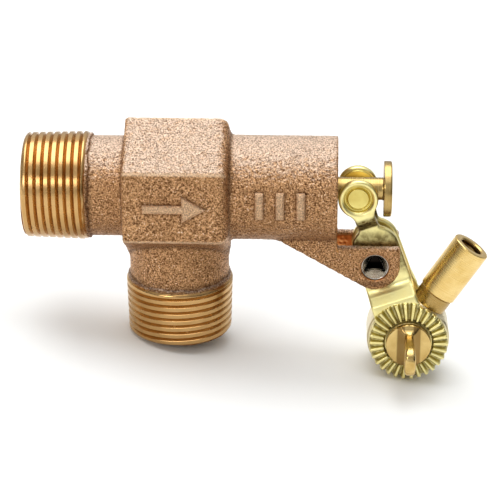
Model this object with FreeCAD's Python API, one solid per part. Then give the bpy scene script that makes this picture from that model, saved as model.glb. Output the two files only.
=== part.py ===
import FreeCAD, Part
import math
import os

# Float valve: a bronze angle body with male pipe threads at the inlet and the outlet, a piston that
# closes on a seat inside it, and a forked lever that pivots in two ears and works the piston.
# The lever's lower end clamps a swinging socket for the rod of a float.
#
# Frame: the origin is the centre of the inlet's end face. +X runs along the inlet, the body and the
# barrel, +Z is up, and the outlet points down. The front is -Y. Millimetres throughout.
# The pose is the shut valve: the lever's eyes are at the barrel end of their travel.

# ---- driving dimensions: pipe threads ----
PIPE_OD = 26.67
THREADS_PER_INCH = 14
TAPER_PER_SIDE = 1 / 32
INLET_THREAD_LENGTH = 15.6
OUTLET_THREAD_LENGTH = 14.2
PIPE_WALL = 3.835

# ---- driving dimensions: body ----
HEX_MARGIN = 4.13
HEX_LENGTH = 25.4
HEX_EDGE_ROUND = 1.2
NECK_STEP = 1.035
INLET_NECK_LENGTH = 9.1
OUTLET_DROP = 37.6
OUTLET_OFFSET = 0.1
BARREL_R = 12.8
BARREL_BORE_R = 8.5
BARREL_LENGTH = 26.55
SHOULDER_ROUND = 1.2
MARK_HEIGHT = 0.6

# ---- driving dimensions: seat and piston ----
ORIFICE_R = 4.5
SEAT_BEFORE_OUTLET = 11.0
SEAT_NOSE_LENGTH = 3.5
SEAT_WEB_THICKNESS = 3.0
SEAT_NOSE_STEP = 0.9
PISTON_NECK_R = 2.8
END_DISC_R = 6.85
END_DISC_THICKNESS = 2.0
END_DISC_GAP = 1.3
SEAT_DISC_THICKNESS = 3.0
GASKET_THICKNESS = 0.6
RING_SECTION_R = 0.9
DISC_SCREW_R = 1.6
DISC_SCREW_LENGTH = 9.0
DISC_WASHER_R = 3.4
DISC_WASHER_THICKNESS = 0.8

# ---- driving dimensions: ears and lever ----
PIVOT_PAST_BARREL = 9.4
PIVOT_BELOW_BARREL = 5.6
EAR_R = 6.1
EAR_THICKNESS = 2.5
EAR_ROOT_BACK = 17.45
SHEET = 2.0
HUB_INNER_Y = 1.6
EYE_SIDE_GAP = 1.05
KNUCKLE_INNER_Y = 5.0
EYE_R = 4.9
STUD_R = 3.4
EYE_BELOW_AXIS = 0.85
EYE_LEAN_DEG = 14.2
NECK_WIDTH = 5.0
CROWN_R = 5.87
CROWN_DX = 0.15
CROWN_RISE = 3.8
KNUCKLE_DX = 8.75
KNUCKLE_DROP = 20.0
SERRATED_R = 9.85
TOOTH_COUNT = 30
TOOTH_HEIGHT = 0.7

# ---- driving dimensions: pivot, clamp and rod socket ----
PIN_R = 2.9
PIN_RECESS = 0.9
PIN_RECESS_R = PIN_R + 0.6
CLAMP_SCREW_R = 3.1
WASHER_THICKNESS = 0.6
NUT_FLANGE = 1.0
NUT_HEIGHT = 5.6
NUT_MARGIN = 4.9
THUMB_HEAD_R = 5.65
THUMB_BLADE_THICKNESS = 2.1
THUMB_BLADE_HEIGHT = 7.2
THUMB_BLADE_REACH = 11.6
BOSS_R = 10.3
SOCKET_R = 4.75
SOCKET_REACH = 28.0
SPIGOT_R = 3.0
SPIGOT_LENGTH = 4.5
SOCKET_LEAN_DEG = 33.0
ROD_TAP_R = 2.6
ROD_TAP_DEPTH = 14.0

# ---- clearances and small sizes ----
RUNNING_GAP = 0.05
FREE_GAP = 0.3
SIDE_GAP = 0.4
FACE_GAP = 0.15
CHAMFER = 0.5
THREAD_DEPTH_RATIO = 0.62
OVERRUN = 5.0
SHEET_BLANK = 40.0

# ---- places worked out from the driving dimensions ----
PITCH = 25.4 / THREADS_PER_INCH
THREAD_END_R = PIPE_OD / 2 - TAPER_PER_SIDE * INLET_THREAD_LENGTH
NECK_R = PIPE_OD / 2 - NECK_STEP
WATERWAY_R = PIPE_OD / 2 - PIPE_WALL
HEX_ACROSS_FLATS = PIPE_OD + HEX_MARGIN
HEX_X0 = INLET_THREAD_LENGTH + INLET_NECK_LENGTH
HEX_X1 = HEX_X0 + HEX_LENGTH
BARREL_END_X = HEX_X1 + BARREL_LENGTH
OUTLET_X = HEX_X0 + HEX_LENGTH / 2 + OUTLET_OFFSET
SEAT_LIP_X = OUTLET_X - SEAT_BEFORE_OUTLET
SEAT_NOSE_R = BARREL_BORE_R - SEAT_NOSE_STEP
SEAT_WEB_X1 = SEAT_LIP_X - SEAT_NOSE_LENGTH
SEAT_WEB_X0 = SEAT_WEB_X1 - SEAT_WEB_THICKNESS
EAR_INNER_Y = HUB_INNER_Y + SHEET + SIDE_GAP
EAR_OUTER_Y = EAR_INNER_Y + EAR_THICKNESS
EAR_TOP_Z = -BARREL_R - SIDE_GAP
EAR_ROOT_X = BARREL_END_X - EAR_ROOT_BACK
PIVOT_X = BARREL_END_X + PIVOT_PAST_BARREL
PIVOT_DROP = BARREL_R + PIVOT_BELOW_BARREL
PIVOT = FreeCAD.Vector(PIVOT_X, 0, -PIVOT_DROP)
EYE_INNER_Y = PISTON_NECK_R + EYE_SIDE_GAP
EYE_LEAN = math.radians(EYE_LEAN_DEG)
EYE_ARM = (PIVOT_DROP - EYE_BELOW_AXIS) / math.cos(EYE_LEAN)
EYE = PIVOT + FreeCAD.Vector(-EYE_ARM * math.sin(EYE_LEAN), 0, EYE_ARM * math.cos(EYE_LEAN))
KNUCKLE = PIVOT + FreeCAD.Vector(KNUCKLE_DX, 0, -KNUCKLE_DROP)
CROWN = PIVOT + FreeCAD.Vector(CROWN_DX, 0, CROWN_RISE)
SOCKET_LEAN = math.radians(SOCKET_LEAN_DEG)
SOCKET_DIR = FreeCAD.Vector(math.sin(SOCKET_LEAN), 0, math.cos(SOCKET_LEAN))
PISTON_SHOULDER_X = EYE.x - EYE_R - SIDE_GAP
END_DISC_X0 = EYE.x + EYE_R + END_DISC_GAP
SEAT_DISC_X0 = SEAT_LIP_X + FREE_GAP
SEAT_DISC_R = SEAT_NOSE_R - 1.2
RING_FLOOR_R = BARREL_BORE_R - 2 * RING_SECTION_R
KNUCKLE_OUTER_Y = KNUCKLE_INNER_Y + SHEET
NUT_START_Y = KNUCKLE_OUTER_Y + WASHER_THICKNESS
NUT_END_Y = NUT_START_Y + NUT_HEIGHT
NUT_ACROSS_FLATS = 2 * CLAMP_SCREW_R + NUT_MARGIN
SOCKET_FOOT = BOSS_R - 1.2

X_AXIS = FreeCAD.Vector(1, 0, 0)
Y_AXIS = FreeCAD.Vector(0, 1, 0)
Z_AXIS = FreeCAD.Vector(0, 0, 1)
ORIGIN = FreeCAD.Vector(0, 0, 0)


def turned(profile, origin=ORIGIN, direction=X_AXIS):
    """Solid of revolution from (distance along the axis, radius) points."""
    points = [FreeCAD.Vector(along, 0, radius) for along, radius in profile]
    face = Part.Face(Part.makePolygon(points + points[:1]))
    solid = face.revolve(ORIGIN, X_AXIS, 360)
    solid.Placement = FreeCAD.Placement(origin, FreeCAD.Rotation(X_AXIS, direction))
    return solid


def rod(radius, start, direction, length):
    return Part.makeCylinder(radius, length, start, direction)


def plate(outline, y0, y1):
    """Flat piece between two Y planes from a list of edges drawn at y = 0."""
    face = Part.Face(Part.Wire(outline))
    face.translate(FreeCAD.Vector(0, y0, 0))
    return face.extrude(FreeCAD.Vector(0, y1 - y0, 0))


def polygon_plate(corners, y0, y1):
    points = [FreeCAD.Vector(x, 0, z) for x, z in corners]
    return plate(Part.makePolygon(points + points[:1]).Edges, y0, y1)


def ring_profile(x0, x1, inner, outer):
    return [(x0, inner), (x1, inner), (x1, outer), (x0, outer)]


def pipe_thread(length):
    """Tapered male thread drawn as rings of V grooves, smallest at the mouth."""
    depth = THREAD_DEPTH_RATIO * PITCH
    profile = [(0, 0), (0, THREAD_END_R - depth)]
    crests = int((length - PITCH / 2) / PITCH)
    for i in range(crests):
        crest_x = (i + 0.75) * PITCH
        crest_r = THREAD_END_R + TAPER_PER_SIDE * crest_x
        profile.append((crest_x - PITCH / 16, crest_r))
        profile.append((crest_x + PITCH / 16, crest_r))
        profile.append((crest_x + PITCH / 2, crest_r - depth))
    end_r = THREAD_END_R + TAPER_PER_SIDE * length
    profile.append((length - CHAMFER, end_r))
    profile.append((length, end_r - CHAMFER))
    profile.append((length, 0))
    return profile


def hex_block():
    """Wrench block with a flat to the front and to the back and an edge at the top and the bottom."""
    corner_r = HEX_ACROSS_FLATS / math.sqrt(3)
    corners = []
    for i in range(6):
        angle = math.radians(90 + 60 * i)
        corners.append(FreeCAD.Vector(HEX_X0, corner_r * math.cos(angle), corner_r * math.sin(angle)))
    block = Part.Face(Part.makePolygon(corners + corners[:1])).extrude(X_AXIS * HEX_LENGTH)
    return block.makeFillet(HEX_EDGE_ROUND, block.Edges)


def circles_at(solid, x, radius):
    """Full round edges of a given radius in the plane at x."""
    found = []
    for edge in solid.Edges:
        full = abs(edge.Length - 2 * math.pi * radius) < 0.01
        if full and abs(edge.CenterOfMass.x - x) < 0.01:
            found.append(edge)
    return found


def straight_run():
    """Inlet neck, wrench block and barrel, with their shoulders filleted as cast."""
    half = HEX_LENGTH / 2
    neck = rod(NECK_R, X_AXIS * (INLET_THREAD_LENGTH - CHAMFER), X_AXIS, INLET_NECK_LENGTH + half)
    barrel = rod(BARREL_R, X_AXIS * (HEX_X1 - half), X_AXIS, BARREL_END_X - HEX_X1 + half)
    run = hex_block().fuse([neck, barrel]).removeSplitter()
    shoulders = circles_at(run, HEX_X0, NECK_R) + circles_at(run, HEX_X1, BARREL_R)
    return run.makeFillet(SHOULDER_ROUND, shoulders)


def ear_outline():
    """Side view of an ear: straight underside tangent to the round end, upright right side, flat top."""
    root = FreeCAD.Vector(EAR_ROOT_X, 0, -BARREL_BORE_R - 1.5)
    away = PIVOT - root
    slope = math.atan2(away.z, away.x) - math.asin(EAR_R / away.Length)
    tangent = PIVOT + FreeCAD.Vector(math.sin(slope), 0, -math.cos(slope)) * EAR_R
    halfway = slope / 2 - math.pi / 4
    low = PIVOT + FreeCAD.Vector(math.cos(halfway), 0, math.sin(halfway)) * EAR_R
    right = PIVOT + X_AXIS * EAR_R
    top_right = FreeCAD.Vector(right.x, 0, EAR_TOP_Z)
    top_left = FreeCAD.Vector(BARREL_END_X, 0, EAR_TOP_Z)
    inside = FreeCAD.Vector(BARREL_END_X, 0, root.z)
    return [Part.makeLine(root, tangent), Part.Arc(tangent, low, right).toShape(),
            Part.makeLine(right, top_right), Part.makeLine(top_right, top_left),
            Part.makeLine(top_left, inside), Part.makeLine(inside, root)]


def ears():
    """Two ears under the barrel's end, and the web that ties them together behind the lever."""
    front = plate(ear_outline(), -EAR_OUTER_Y, -EAR_INNER_Y)
    rear = plate(ear_outline(), EAR_INNER_Y, EAR_OUTER_Y)
    web_end_x = PIVOT_X - CROWN_RISE - CROWN_R - 2
    keep = Part.makeBox(web_end_x - EAR_ROOT_X, 2 * EAR_INNER_Y, 2 * BARREL_R,
                        FreeCAD.Vector(EAR_ROOT_X, -EAR_INNER_Y, -2 * BARREL_R))
    web = plate(ear_outline(), -EAR_INNER_Y, EAR_INNER_Y).common(keep)
    return front.fuse([rear, web])


def flow_arrow():
    """Raised arrow on the front flat of the wrench block: water comes in along it."""
    tail = HEX_X0 + 5
    tip = HEX_X1 - 5
    barb = tip - 6
    shaft = 1.1
    head = 3.4
    corners = [(tail, -shaft), (barb, -shaft), (barb, -head), (tip, 0),
               (barb, head), (barb, shaft), (tail, shaft)]
    face_y = -HEX_ACROSS_FLATS / 2
    return polygon_plate(corners, face_y - MARK_HEIGHT, face_y + 1)


def barrel_bars():
    """Three plain raised bars round the front of the barrel, as a foundry mark."""
    skin = rod(BARREL_R + MARK_HEIGHT, X_AXIS * HEX_X1, X_AXIS, BARREL_END_X - HEX_X1)
    bars = []
    for i in range(3):
        x = HEX_X1 + 6.5 + 5.0 * i
        bars.append(Part.makeBox(2.2, BARREL_R, 7.0, FreeCAD.Vector(x, -BARREL_R - 2, -3.5)))
    return bars[0].fuse(bars[1:]).common(skin)


def body_casting():
    inlet = turned(pipe_thread(INLET_THREAD_LENGTH))
    outlet_end = FreeCAD.Vector(OUTLET_X, 0, -OUTLET_DROP)
    outlet = turned(pipe_thread(OUTLET_THREAD_LENGTH), outlet_end, Z_AXIS)
    thread_inside = OUTLET_THREAD_LENGTH - CHAMFER
    outlet_neck = rod(NECK_R, outlet_end + Z_AXIS * thread_inside, Z_AXIS, OUTLET_DROP - thread_inside)
    solid = straight_run().fuse([inlet, outlet, outlet_neck, ears(), flow_arrow(), barrel_bars()])
    waterway = rod(WATERWAY_R, -X_AXIS * OVERRUN, X_AXIS, SEAT_WEB_X0 + OVERRUN)
    seat_hole = rod(SEAT_NOSE_R, X_AXIS * (SEAT_WEB_X0 - 1), X_AXIS, SEAT_WEB_X1 - SEAT_WEB_X0 + 2)
    chamber = rod(BARREL_BORE_R, X_AXIS * SEAT_WEB_X1, X_AXIS, BARREL_END_X - SEAT_WEB_X1 + OVERRUN)
    way_out = rod(WATERWAY_R, outlet_end - Z_AXIS * OVERRUN, Z_AXIS, OUTLET_DROP + OVERRUN)
    pin_hole = rod(PIN_R, PIVOT - Y_AXIS * (EAR_OUTER_Y + 1), Y_AXIS, 2 * EAR_OUTER_Y + 2)
    recesses = []
    for outward in (-Y_AXIS, Y_AXIS):
        floor = PIVOT + outward * (EAR_OUTER_Y - PIN_RECESS)
        recesses.append(rod(PIN_RECESS_R, floor, outward, PIN_RECESS + 1))
    return solid.cut([waterway, seat_hole, chamber, way_out, pin_hole] + recesses).removeSplitter()


def seat_ring():
    """Orifice ring pressed in from the inlet: flange, nose through the web, raised lip, hex key socket."""
    flange_x1 = SEAT_WEB_X0 - GASKET_THICKNESS
    flange_x0 = flange_x1 - 4
    profile = [(flange_x0, 0), (flange_x0, WATERWAY_R), (flange_x1, WATERWAY_R),
               (flange_x1, SEAT_NOSE_R), (SEAT_LIP_X - 1, SEAT_NOSE_R),
               (SEAT_LIP_X - 1, ORIFICE_R + 1.4), (SEAT_LIP_X, ORIFICE_R + 0.6), (SEAT_LIP_X, 0)]
    ring = turned(profile)
    orifice = rod(ORIFICE_R, X_AXIS * (flange_x0 - 1), X_AXIS, SEAT_LIP_X - flange_x0 + 2)
    key_corners = []
    for i in range(7):
        angle = math.radians(60 * i)
        key_corners.append(FreeCAD.Vector(flange_x0 - 1, 6.6 * math.cos(angle), 6.6 * math.sin(angle)))
    key = Part.Face(Part.makePolygon(key_corners)).extrude(X_AXIS * 5)
    return ring.cut([orifice, key])


def seat_gasket():
    return turned(ring_profile(SEAT_WEB_X0 - GASKET_THICKNESS, SEAT_WEB_X0, SEAT_NOSE_R, WATERWAY_R))


def piston():
    """Turned piston: disc holder, waist, guide land with two ring grooves, neck and end disc."""
    holder_x0 = SEAT_DISC_X0 + 0.4
    pocket_x = SEAT_DISC_X0 + SEAT_DISC_THICKNESS
    holder_x1 = pocket_x + 3
    holder_r = SEAT_NOSE_R
    waist_r = 4.0
    land_x0 = OUTLET_X + WATERWAY_R + 4.5
    land_r = BARREL_BORE_R - RUNNING_GAP
    profile = [(pocket_x, 0), (pocket_x, SEAT_DISC_R), (holder_x0, SEAT_DISC_R),
               (holder_x0, holder_r), (holder_x1, holder_r), (holder_x1 + 2, waist_r),
               (land_x0 - 2, waist_r), (land_x0, land_r)]
    for centre in ring_centres():
        groove_x0 = centre - RING_SECTION_R - 0.3
        groove_x1 = centre + RING_SECTION_R + 0.3
        profile += [(groove_x0, land_r), (groove_x0, RING_FLOOR_R)]
        profile += [(groove_x1, RING_FLOOR_R), (groove_x1, land_r)]
    disc_x1 = END_DISC_X0 + END_DISC_THICKNESS
    profile += [(PISTON_SHOULDER_X - CHAMFER, land_r), (PISTON_SHOULDER_X, land_r - CHAMFER),
                (PISTON_SHOULDER_X, PISTON_NECK_R), (END_DISC_X0, PISTON_NECK_R),
                (END_DISC_X0, END_DISC_R), (disc_x1 - CHAMFER, END_DISC_R),
                (disc_x1, END_DISC_R - CHAMFER), (disc_x1, 0)]
    tapped = rod(DISC_SCREW_R, X_AXIS * SEAT_DISC_X0, X_AXIS, DISC_SCREW_LENGTH)
    return turned(profile).cut(tapped)


def ring_centres():
    first = OUTLET_X + WATERWAY_R + 8.5
    return [first, first + 5]


def piston_ring(centre):
    """Sealing ring at its fitted size, just clear of the barrel's bore."""
    section_r = RING_SECTION_R - RUNNING_GAP / 2
    return Part.makeTorus(RING_FLOOR_R + section_r, section_r, X_AXIS * centre, X_AXIS)


def seat_disc():
    back_x = SEAT_DISC_X0 + SEAT_DISC_THICKNESS
    return turned(ring_profile(SEAT_DISC_X0, back_x, DISC_SCREW_R, SEAT_DISC_R))


def disc_washer():
    washer_x0 = SEAT_DISC_X0 - DISC_WASHER_THICKNESS
    return turned(ring_profile(washer_x0, SEAT_DISC_X0, DISC_SCREW_R, DISC_WASHER_R))


def disc_screw():
    """Slotted cheese-head screw that holds the seat disc in the piston."""
    head_x1 = SEAT_DISC_X0 - DISC_WASHER_THICKNESS
    head_x0 = head_x1 - 1.5
    head_r = 2.7
    profile = [(head_x0, 0), (head_x0, head_r), (head_x1, head_r), (head_x1, DISC_SCREW_R),
               (SEAT_DISC_X0 + DISC_SCREW_LENGTH, DISC_SCREW_R), (SEAT_DISC_X0 + DISC_SCREW_LENGTH, 0)]
    slot = Part.makeBox(0.8, 2 * head_r, 0.9, FreeCAD.Vector(head_x0, -head_r, -0.45))
    return turned(profile).cut(slot)


def pivot_pin():
    """Hollow pin pressed through the ears, its ends flared into their recesses."""
    flare_r = PIN_R + 0.5
    end_y = EAR_OUTER_Y - 0.3
    neck_y = EAR_OUTER_Y - PIN_RECESS
    hole_r = 1.6
    mouth_r = hole_r + 0.7
    profile = [(-end_y, mouth_r), (-end_y, flare_r), (-neck_y, flare_r), (-neck_y, PIN_R),
               (neck_y, PIN_R), (neck_y, flare_r), (end_y, flare_r), (end_y, mouth_r),
               (neck_y, hole_r), (-neck_y, hole_r)]
    return turned(profile, PIVOT, Y_AXIS)


def pivot_bush():
    """Spacer between the two cheeks; the lever turns on the pin through it."""
    return turned(ring_profile(-HUB_INNER_Y, HUB_INNER_Y, PIN_R + RUNNING_GAP, PIN_R + 2), PIVOT, Y_AXIS)


def disc_at(centre, radius):
    return rod(radius, centre - Y_AXIS * 2 * KNUCKLE_OUTER_Y, Y_AXIS, 4 * KNUCKLE_OUTER_Y)


def strip_between(start, end, width):
    """Straight bar of a width between two points of the side view, through every Y."""
    along = end - start
    bar = Part.makeBox(along.Length, 4 * KNUCKLE_OUTER_Y, width,
                       FreeCAD.Vector(0, -2 * KNUCKLE_OUTER_Y, -width / 2))
    bar.Placement = FreeCAD.Placement(start, FreeCAD.Rotation(X_AXIS, along)) * bar.Placement
    return bar


def bent_sheet(stations, width, start, direction):
    """Sheet of even thickness whose inner face passes the (distance, y) stations, 45 degree joggles."""
    mitre = SHEET * math.tan(math.pi / 8)
    inner = []
    outer = []
    for i, (along, y) in enumerate(stations):
        shift = 0
        if 0 < i < len(stations) - 1:
            rising = stations[i + 1][1] > y or y > stations[i - 1][1]
            shift = mitre if rising else -mitre
        inner.append(FreeCAD.Vector(along + shift / 2, y, 0))
        outer.append(FreeCAD.Vector(along - shift / 2, y + SHEET, 0))
    outer.reverse()
    loop = inner + outer
    sheet = Part.Face(Part.makePolygon(loop + loop[:1])).extrude(Z_AXIS * width)
    sheet.translate(Z_AXIS * (-width / 2))
    sheet.Placement = FreeCAD.Placement(start, FreeCAD.Rotation(X_AXIS, direction)) * sheet.Placement
    return sheet


def serrations():
    """Ring of radial V teeth on the outer face of a cheek's round end."""
    inner_r = THUMB_HEAD_R + FREE_GAP + 0.05
    teeth = []
    half = math.pi / TOOTH_COUNT
    for i in range(TOOTH_COUNT):
        sections = []
        for radius in (inner_r, SERRATED_R):
            corners = []
            for offset, y in ((-half, -0.05), (0, TOOTH_HEIGHT), (half, -0.05)):
                angle = 2 * half * i + offset
                corners.append(KNUCKLE + FreeCAD.Vector(radius * math.cos(angle), KNUCKLE_OUTER_Y + y,
                                                        radius * math.sin(angle)))
            sections.append(Part.makePolygon(corners + corners[:1]))
        teeth.append(Part.makeLoft(sections, True, True))
    return teeth


def rear_cheek():
    """Stamped cheek: eye, neck joggled in to the hub, strip joggled out to a serrated round end."""
    crown = disc_at(CROWN, CROWN_R)
    neck = EYE - CROWN
    rise = EYE_INNER_Y - HUB_INNER_Y
    rise_start = CROWN_R + FREE_GAP
    upper_stations = [(-CROWN_R - 1, HUB_INNER_Y), (rise_start, HUB_INNER_Y),
                      (rise_start + rise, EYE_INNER_Y), (neck.Length + EYE_R + 1, EYE_INNER_Y)]
    upper_outline = disc_at(EYE, EYE_R).fuse([strip_between(CROWN, EYE, NECK_WIDTH), crown])
    upper = upper_outline.common(bent_sheet(upper_stations, SHEET_BLANK, CROWN, neck))
    strip = KNUCKLE - CROWN
    spread = KNUCKLE_INNER_Y - HUB_INNER_Y
    spread_end = strip.Length - BOSS_R - 3 * FREE_GAP
    lower_stations = [(-CROWN_R - 1, HUB_INNER_Y), (spread_end - spread, HUB_INNER_Y),
                      (spread_end, KNUCKLE_INNER_Y), (strip.Length + SERRATED_R + 1, KNUCKLE_INNER_Y)]
    strip_bar = strip_between(CROWN, KNUCKLE, 2 * CROWN_R)
    lower_outline = disc_at(KNUCKLE, SERRATED_R).fuse([strip_bar, crown])
    lower = lower_outline.common(bent_sheet(lower_stations, SHEET_BLANK, CROWN, strip))
    screw_hole = disc_at(KNUCKLE, CLAMP_SCREW_R + RUNNING_GAP)
    holes = [disc_at(PIVOT, PIN_R + FREE_GAP), screw_hole, disc_at(EYE, STUD_R)]
    return upper.fuse([lower] + serrations()).cut(holes)


def mirrored(solid):
    return solid.mirror(ORIGIN, Y_AXIS)


def rear_eye_stud():
    """Headed stud set in an eye, its plain end just below the eye's outer face."""
    head_r = STUD_R + 0.8
    head_y = EYE_INNER_Y - 0.45
    end_y = EYE_INNER_Y + SHEET - 1.0
    profile = [(head_y, 0), (head_y, head_r), (EYE_INNER_Y, head_r), (EYE_INNER_Y, STUD_R),
               (end_y, STUD_R), (end_y, 0)]
    return turned(profile, FreeCAD.Vector(EYE.x, 0, EYE.z), Y_AXIS)


def thumb_screw():
    """Clamp screw: shank through cheeks and boss, round head, upright blade to turn it by."""
    head_y = -KNUCKLE_OUTER_Y - WASHER_THICKNESS - FACE_GAP
    face_y = head_y - 1.0
    tip_y = NUT_END_Y + 1.5
    profile = [(face_y, 0), (face_y, THUMB_HEAD_R - 0.2), (face_y + 0.2, THUMB_HEAD_R),
               (head_y, THUMB_HEAD_R), (head_y, CLAMP_SCREW_R), (tip_y - CHAMFER, CLAMP_SCREW_R),
               (tip_y, CLAMP_SCREW_R - CHAMFER), (tip_y, 0)]
    screw = turned(profile, KNUCKLE, Y_AXIS)
    blade = Part.makeBox(THUMB_BLADE_THICKNESS, THUMB_BLADE_REACH, THUMB_BLADE_HEIGHT,
                         KNUCKLE + FreeCAD.Vector(-THUMB_BLADE_THICKNESS / 2, face_y - THUMB_BLADE_REACH,
                                                  -THUMB_BLADE_HEIGHT / 2))
    far_y = face_y - THUMB_BLADE_REACH
    far_edges = [edge for edge in blade.Edges if abs(edge.CenterOfMass.y - far_y) < 0.01]
    blade = blade.makeFillet(CHAMFER, far_edges)
    return screw.fuse(blade)


def clamp_washer(y0):
    section = ring_profile(y0, y0 + WASHER_THICKNESS, CLAMP_SCREW_R + RUNNING_GAP, THUMB_HEAD_R)
    return turned(section, KNUCKLE, Y_AXIS)


def clamp_nut():
    """Flanged hexagon nut on the rear cheek."""
    flange = rod(THUMB_HEAD_R, KNUCKLE + Y_AXIS * NUT_START_Y, Y_AXIS, NUT_FLANGE)
    corner_r = NUT_ACROSS_FLATS / math.sqrt(3)
    corners = []
    for i in range(7):
        angle = math.radians(60 * i)
        corners.append(KNUCKLE + FreeCAD.Vector(corner_r * math.cos(angle), NUT_START_Y + NUT_FLANGE,
                                                corner_r * math.sin(angle)))
    hexagon = Part.Face(Part.makePolygon(corners)).extrude(Y_AXIS * (NUT_HEIGHT - NUT_FLANGE))
    return flange.fuse(hexagon).cut(disc_at(KNUCKLE, CLAMP_SCREW_R + RUNNING_GAP))


def socket_knuckle():
    """Round boss between the cheeks, flat where the rod socket is brazed into it."""
    half = KNUCKLE_INNER_Y - FREE_GAP
    boss = rod(BOSS_R, KNUCKLE - Y_AXIS * half, Y_AXIS, 2 * half)
    cut_box = Part.makeBox(BOSS_R, 4 * half, 4 * BOSS_R,
                           FreeCAD.Vector(SOCKET_FOOT, -2 * half, -2 * BOSS_R))
    leaning = FreeCAD.Placement(KNUCKLE, FreeCAD.Rotation(X_AXIS, SOCKET_DIR))
    cut_box.Placement = leaning * cut_box.Placement
    spigot_start = KNUCKLE + SOCKET_DIR * (SOCKET_FOOT - SPIGOT_LENGTH)
    spigot = rod(SPIGOT_R, spigot_start, SOCKET_DIR, SPIGOT_LENGTH + 1)
    return boss.cut([cut_box, spigot, disc_at(KNUCKLE, CLAMP_SCREW_R + RUNNING_GAP)])


def rod_socket():
    """Tapped sleeve for the float rod, brazed in the knuckle by its spigot."""
    base_r = SOCKET_R - 0.35
    base_end = SOCKET_FOOT + 4.0
    spigot_start = SOCKET_FOOT - SPIGOT_LENGTH
    tap_floor = SOCKET_REACH - ROD_TAP_DEPTH
    profile = [(spigot_start, 0), (spigot_start, SPIGOT_R), (SOCKET_FOOT, SPIGOT_R),
               (SOCKET_FOOT, base_r), (base_end, base_r), (base_end + 0.35, SOCKET_R),
               (SOCKET_REACH - CHAMFER, SOCKET_R), (SOCKET_REACH, SOCKET_R - CHAMFER),
               (SOCKET_REACH, ROD_TAP_R + 0.7), (SOCKET_REACH - 0.7, ROD_TAP_R),
               (tap_floor, ROD_TAP_R), (tap_floor - 1.2, 0)]
    return turned(profile, KNUCKLE, SOCKET_DIR)


def write(name, solid):
    if solid.ShapeType != "Solid" and len(solid.Solids) == 1:
        solid = solid.Solids[0]
    solid.exportStep(os.path.join("parts", name + ".step"))
    print(name, solid.isValid(), len(solid.Solids), round(solid.Volume, 1))


os.makedirs("parts", exist_ok=True)
write("body_casting", body_casting())
write("seat_ring", seat_ring())
write("seat_gasket", seat_gasket())
write("pivot_pin", pivot_pin())
write("piston", piston())
write("seat_disc", seat_disc())
write("disc_washer", disc_washer())
write("disc_screw", disc_screw())
write("piston_ring_front", piston_ring(ring_centres()[0]))
write("piston_ring_rear", piston_ring(ring_centres()[1]))
cheek = rear_cheek()
write("rear_cheek", cheek)
write("front_cheek", mirrored(cheek))
write("rear_eye_stud", rear_eye_stud())
write("front_eye_stud", mirrored(rear_eye_stud()))
write("pivot_bush", pivot_bush())
write("thumb_screw", thumb_screw())
write("front_clamp_washer", clamp_washer(-KNUCKLE_OUTER_Y - WASHER_THICKNESS))
write("rear_clamp_washer", clamp_washer(KNUCKLE_OUTER_Y))
write("clamp_nut", clamp_nut())
write("socket_knuckle", socket_knuckle())
write("rod_socket", rod_socket())
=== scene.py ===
import bmesh
import bpy
import math
import numpy as np
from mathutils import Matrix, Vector


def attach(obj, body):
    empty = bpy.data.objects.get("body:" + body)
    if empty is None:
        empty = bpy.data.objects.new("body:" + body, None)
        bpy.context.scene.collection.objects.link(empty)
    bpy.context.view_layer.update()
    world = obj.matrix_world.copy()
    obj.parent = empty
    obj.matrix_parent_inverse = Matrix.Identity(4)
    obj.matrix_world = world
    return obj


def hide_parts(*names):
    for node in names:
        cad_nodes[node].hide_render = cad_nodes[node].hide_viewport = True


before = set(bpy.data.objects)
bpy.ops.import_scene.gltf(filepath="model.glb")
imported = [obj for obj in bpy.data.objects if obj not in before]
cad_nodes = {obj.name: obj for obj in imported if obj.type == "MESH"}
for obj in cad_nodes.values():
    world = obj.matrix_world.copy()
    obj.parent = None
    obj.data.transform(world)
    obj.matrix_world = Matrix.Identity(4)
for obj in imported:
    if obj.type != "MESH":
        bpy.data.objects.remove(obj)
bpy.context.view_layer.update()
scene = bpy.context.scene

# ---- View ----
# A long lens in front of the valve and above it, so that the round parts show their tops.
# It is made first, because the pieces' detail is sized for what it sees.
MM = 0.001
view_target = Vector((55.065, 0, -16.833)) * MM
view_distance = 521.1 * MM
view_turn = math.radians(2.04)
view_rise = math.radians(23.18)
towards_view = Vector((math.sin(view_turn) * math.cos(view_rise),
                       -math.cos(view_turn) * math.cos(view_rise), math.sin(view_rise)))
lens = bpy.data.cameras.new("view")
lens.lens = 150.77
lens.sensor_width = 36
lens.clip_start = 0.01
camera = bpy.data.objects.new("view", lens)
camera.location = view_target + towards_view * view_distance
camera.rotation_euler = (-towards_view).to_track_quat("-Z", "Y").to_euler()
scene.collection.objects.link(camera)
scene.camera = camera

# ---- Cast body ----
# The angle body is one sand casting in red bronze: necks, wrench block, barrel and ears run into each
# other with the moulder's fillets. It is shot blasted, then bored, drilled and faced by machine.
COS_30 = 0.866
FAR = 99.0
NECK_R = 12.3
NECK_INNER_END_X = 40
BARREL_R = 12.8
BARREL_INNER_END_X = 35
BORE_R = 8.5
WATERWAY_R = 9.5
THREAD_END_X = 15.6
INLET_LIP_R = 12.95
OUTLET_LIP_R = 12.9
LIP_WIDTH = 0.6
HEX_X = (24.7, 50.1)
HEX_HALF_FLATS = 15.4
HEX_OUTSIDE_R = 18.2
BARREL_END_X = 76.65
OUTLET_X = 37.5
OUTLET_NECK_Z = -23.4
SEAT_WEB_X = (20.0, 23.0)
SEAT_HOLE_R = 7.6
PIVOT = np.array((86.05, 0.0, -18.4))
EAR_R = 6.1
EAR_Y = (4.0, 6.5)
EAR_TOP_Z = -13.2
EAR_ROOT = (59.2, -10.0)
EAR_SLOT_DEPTH = 11.7
PIN_R = 2.9
PIN_RECESS_R = 3.5
MARK_HEIGHT = 1.0
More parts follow.
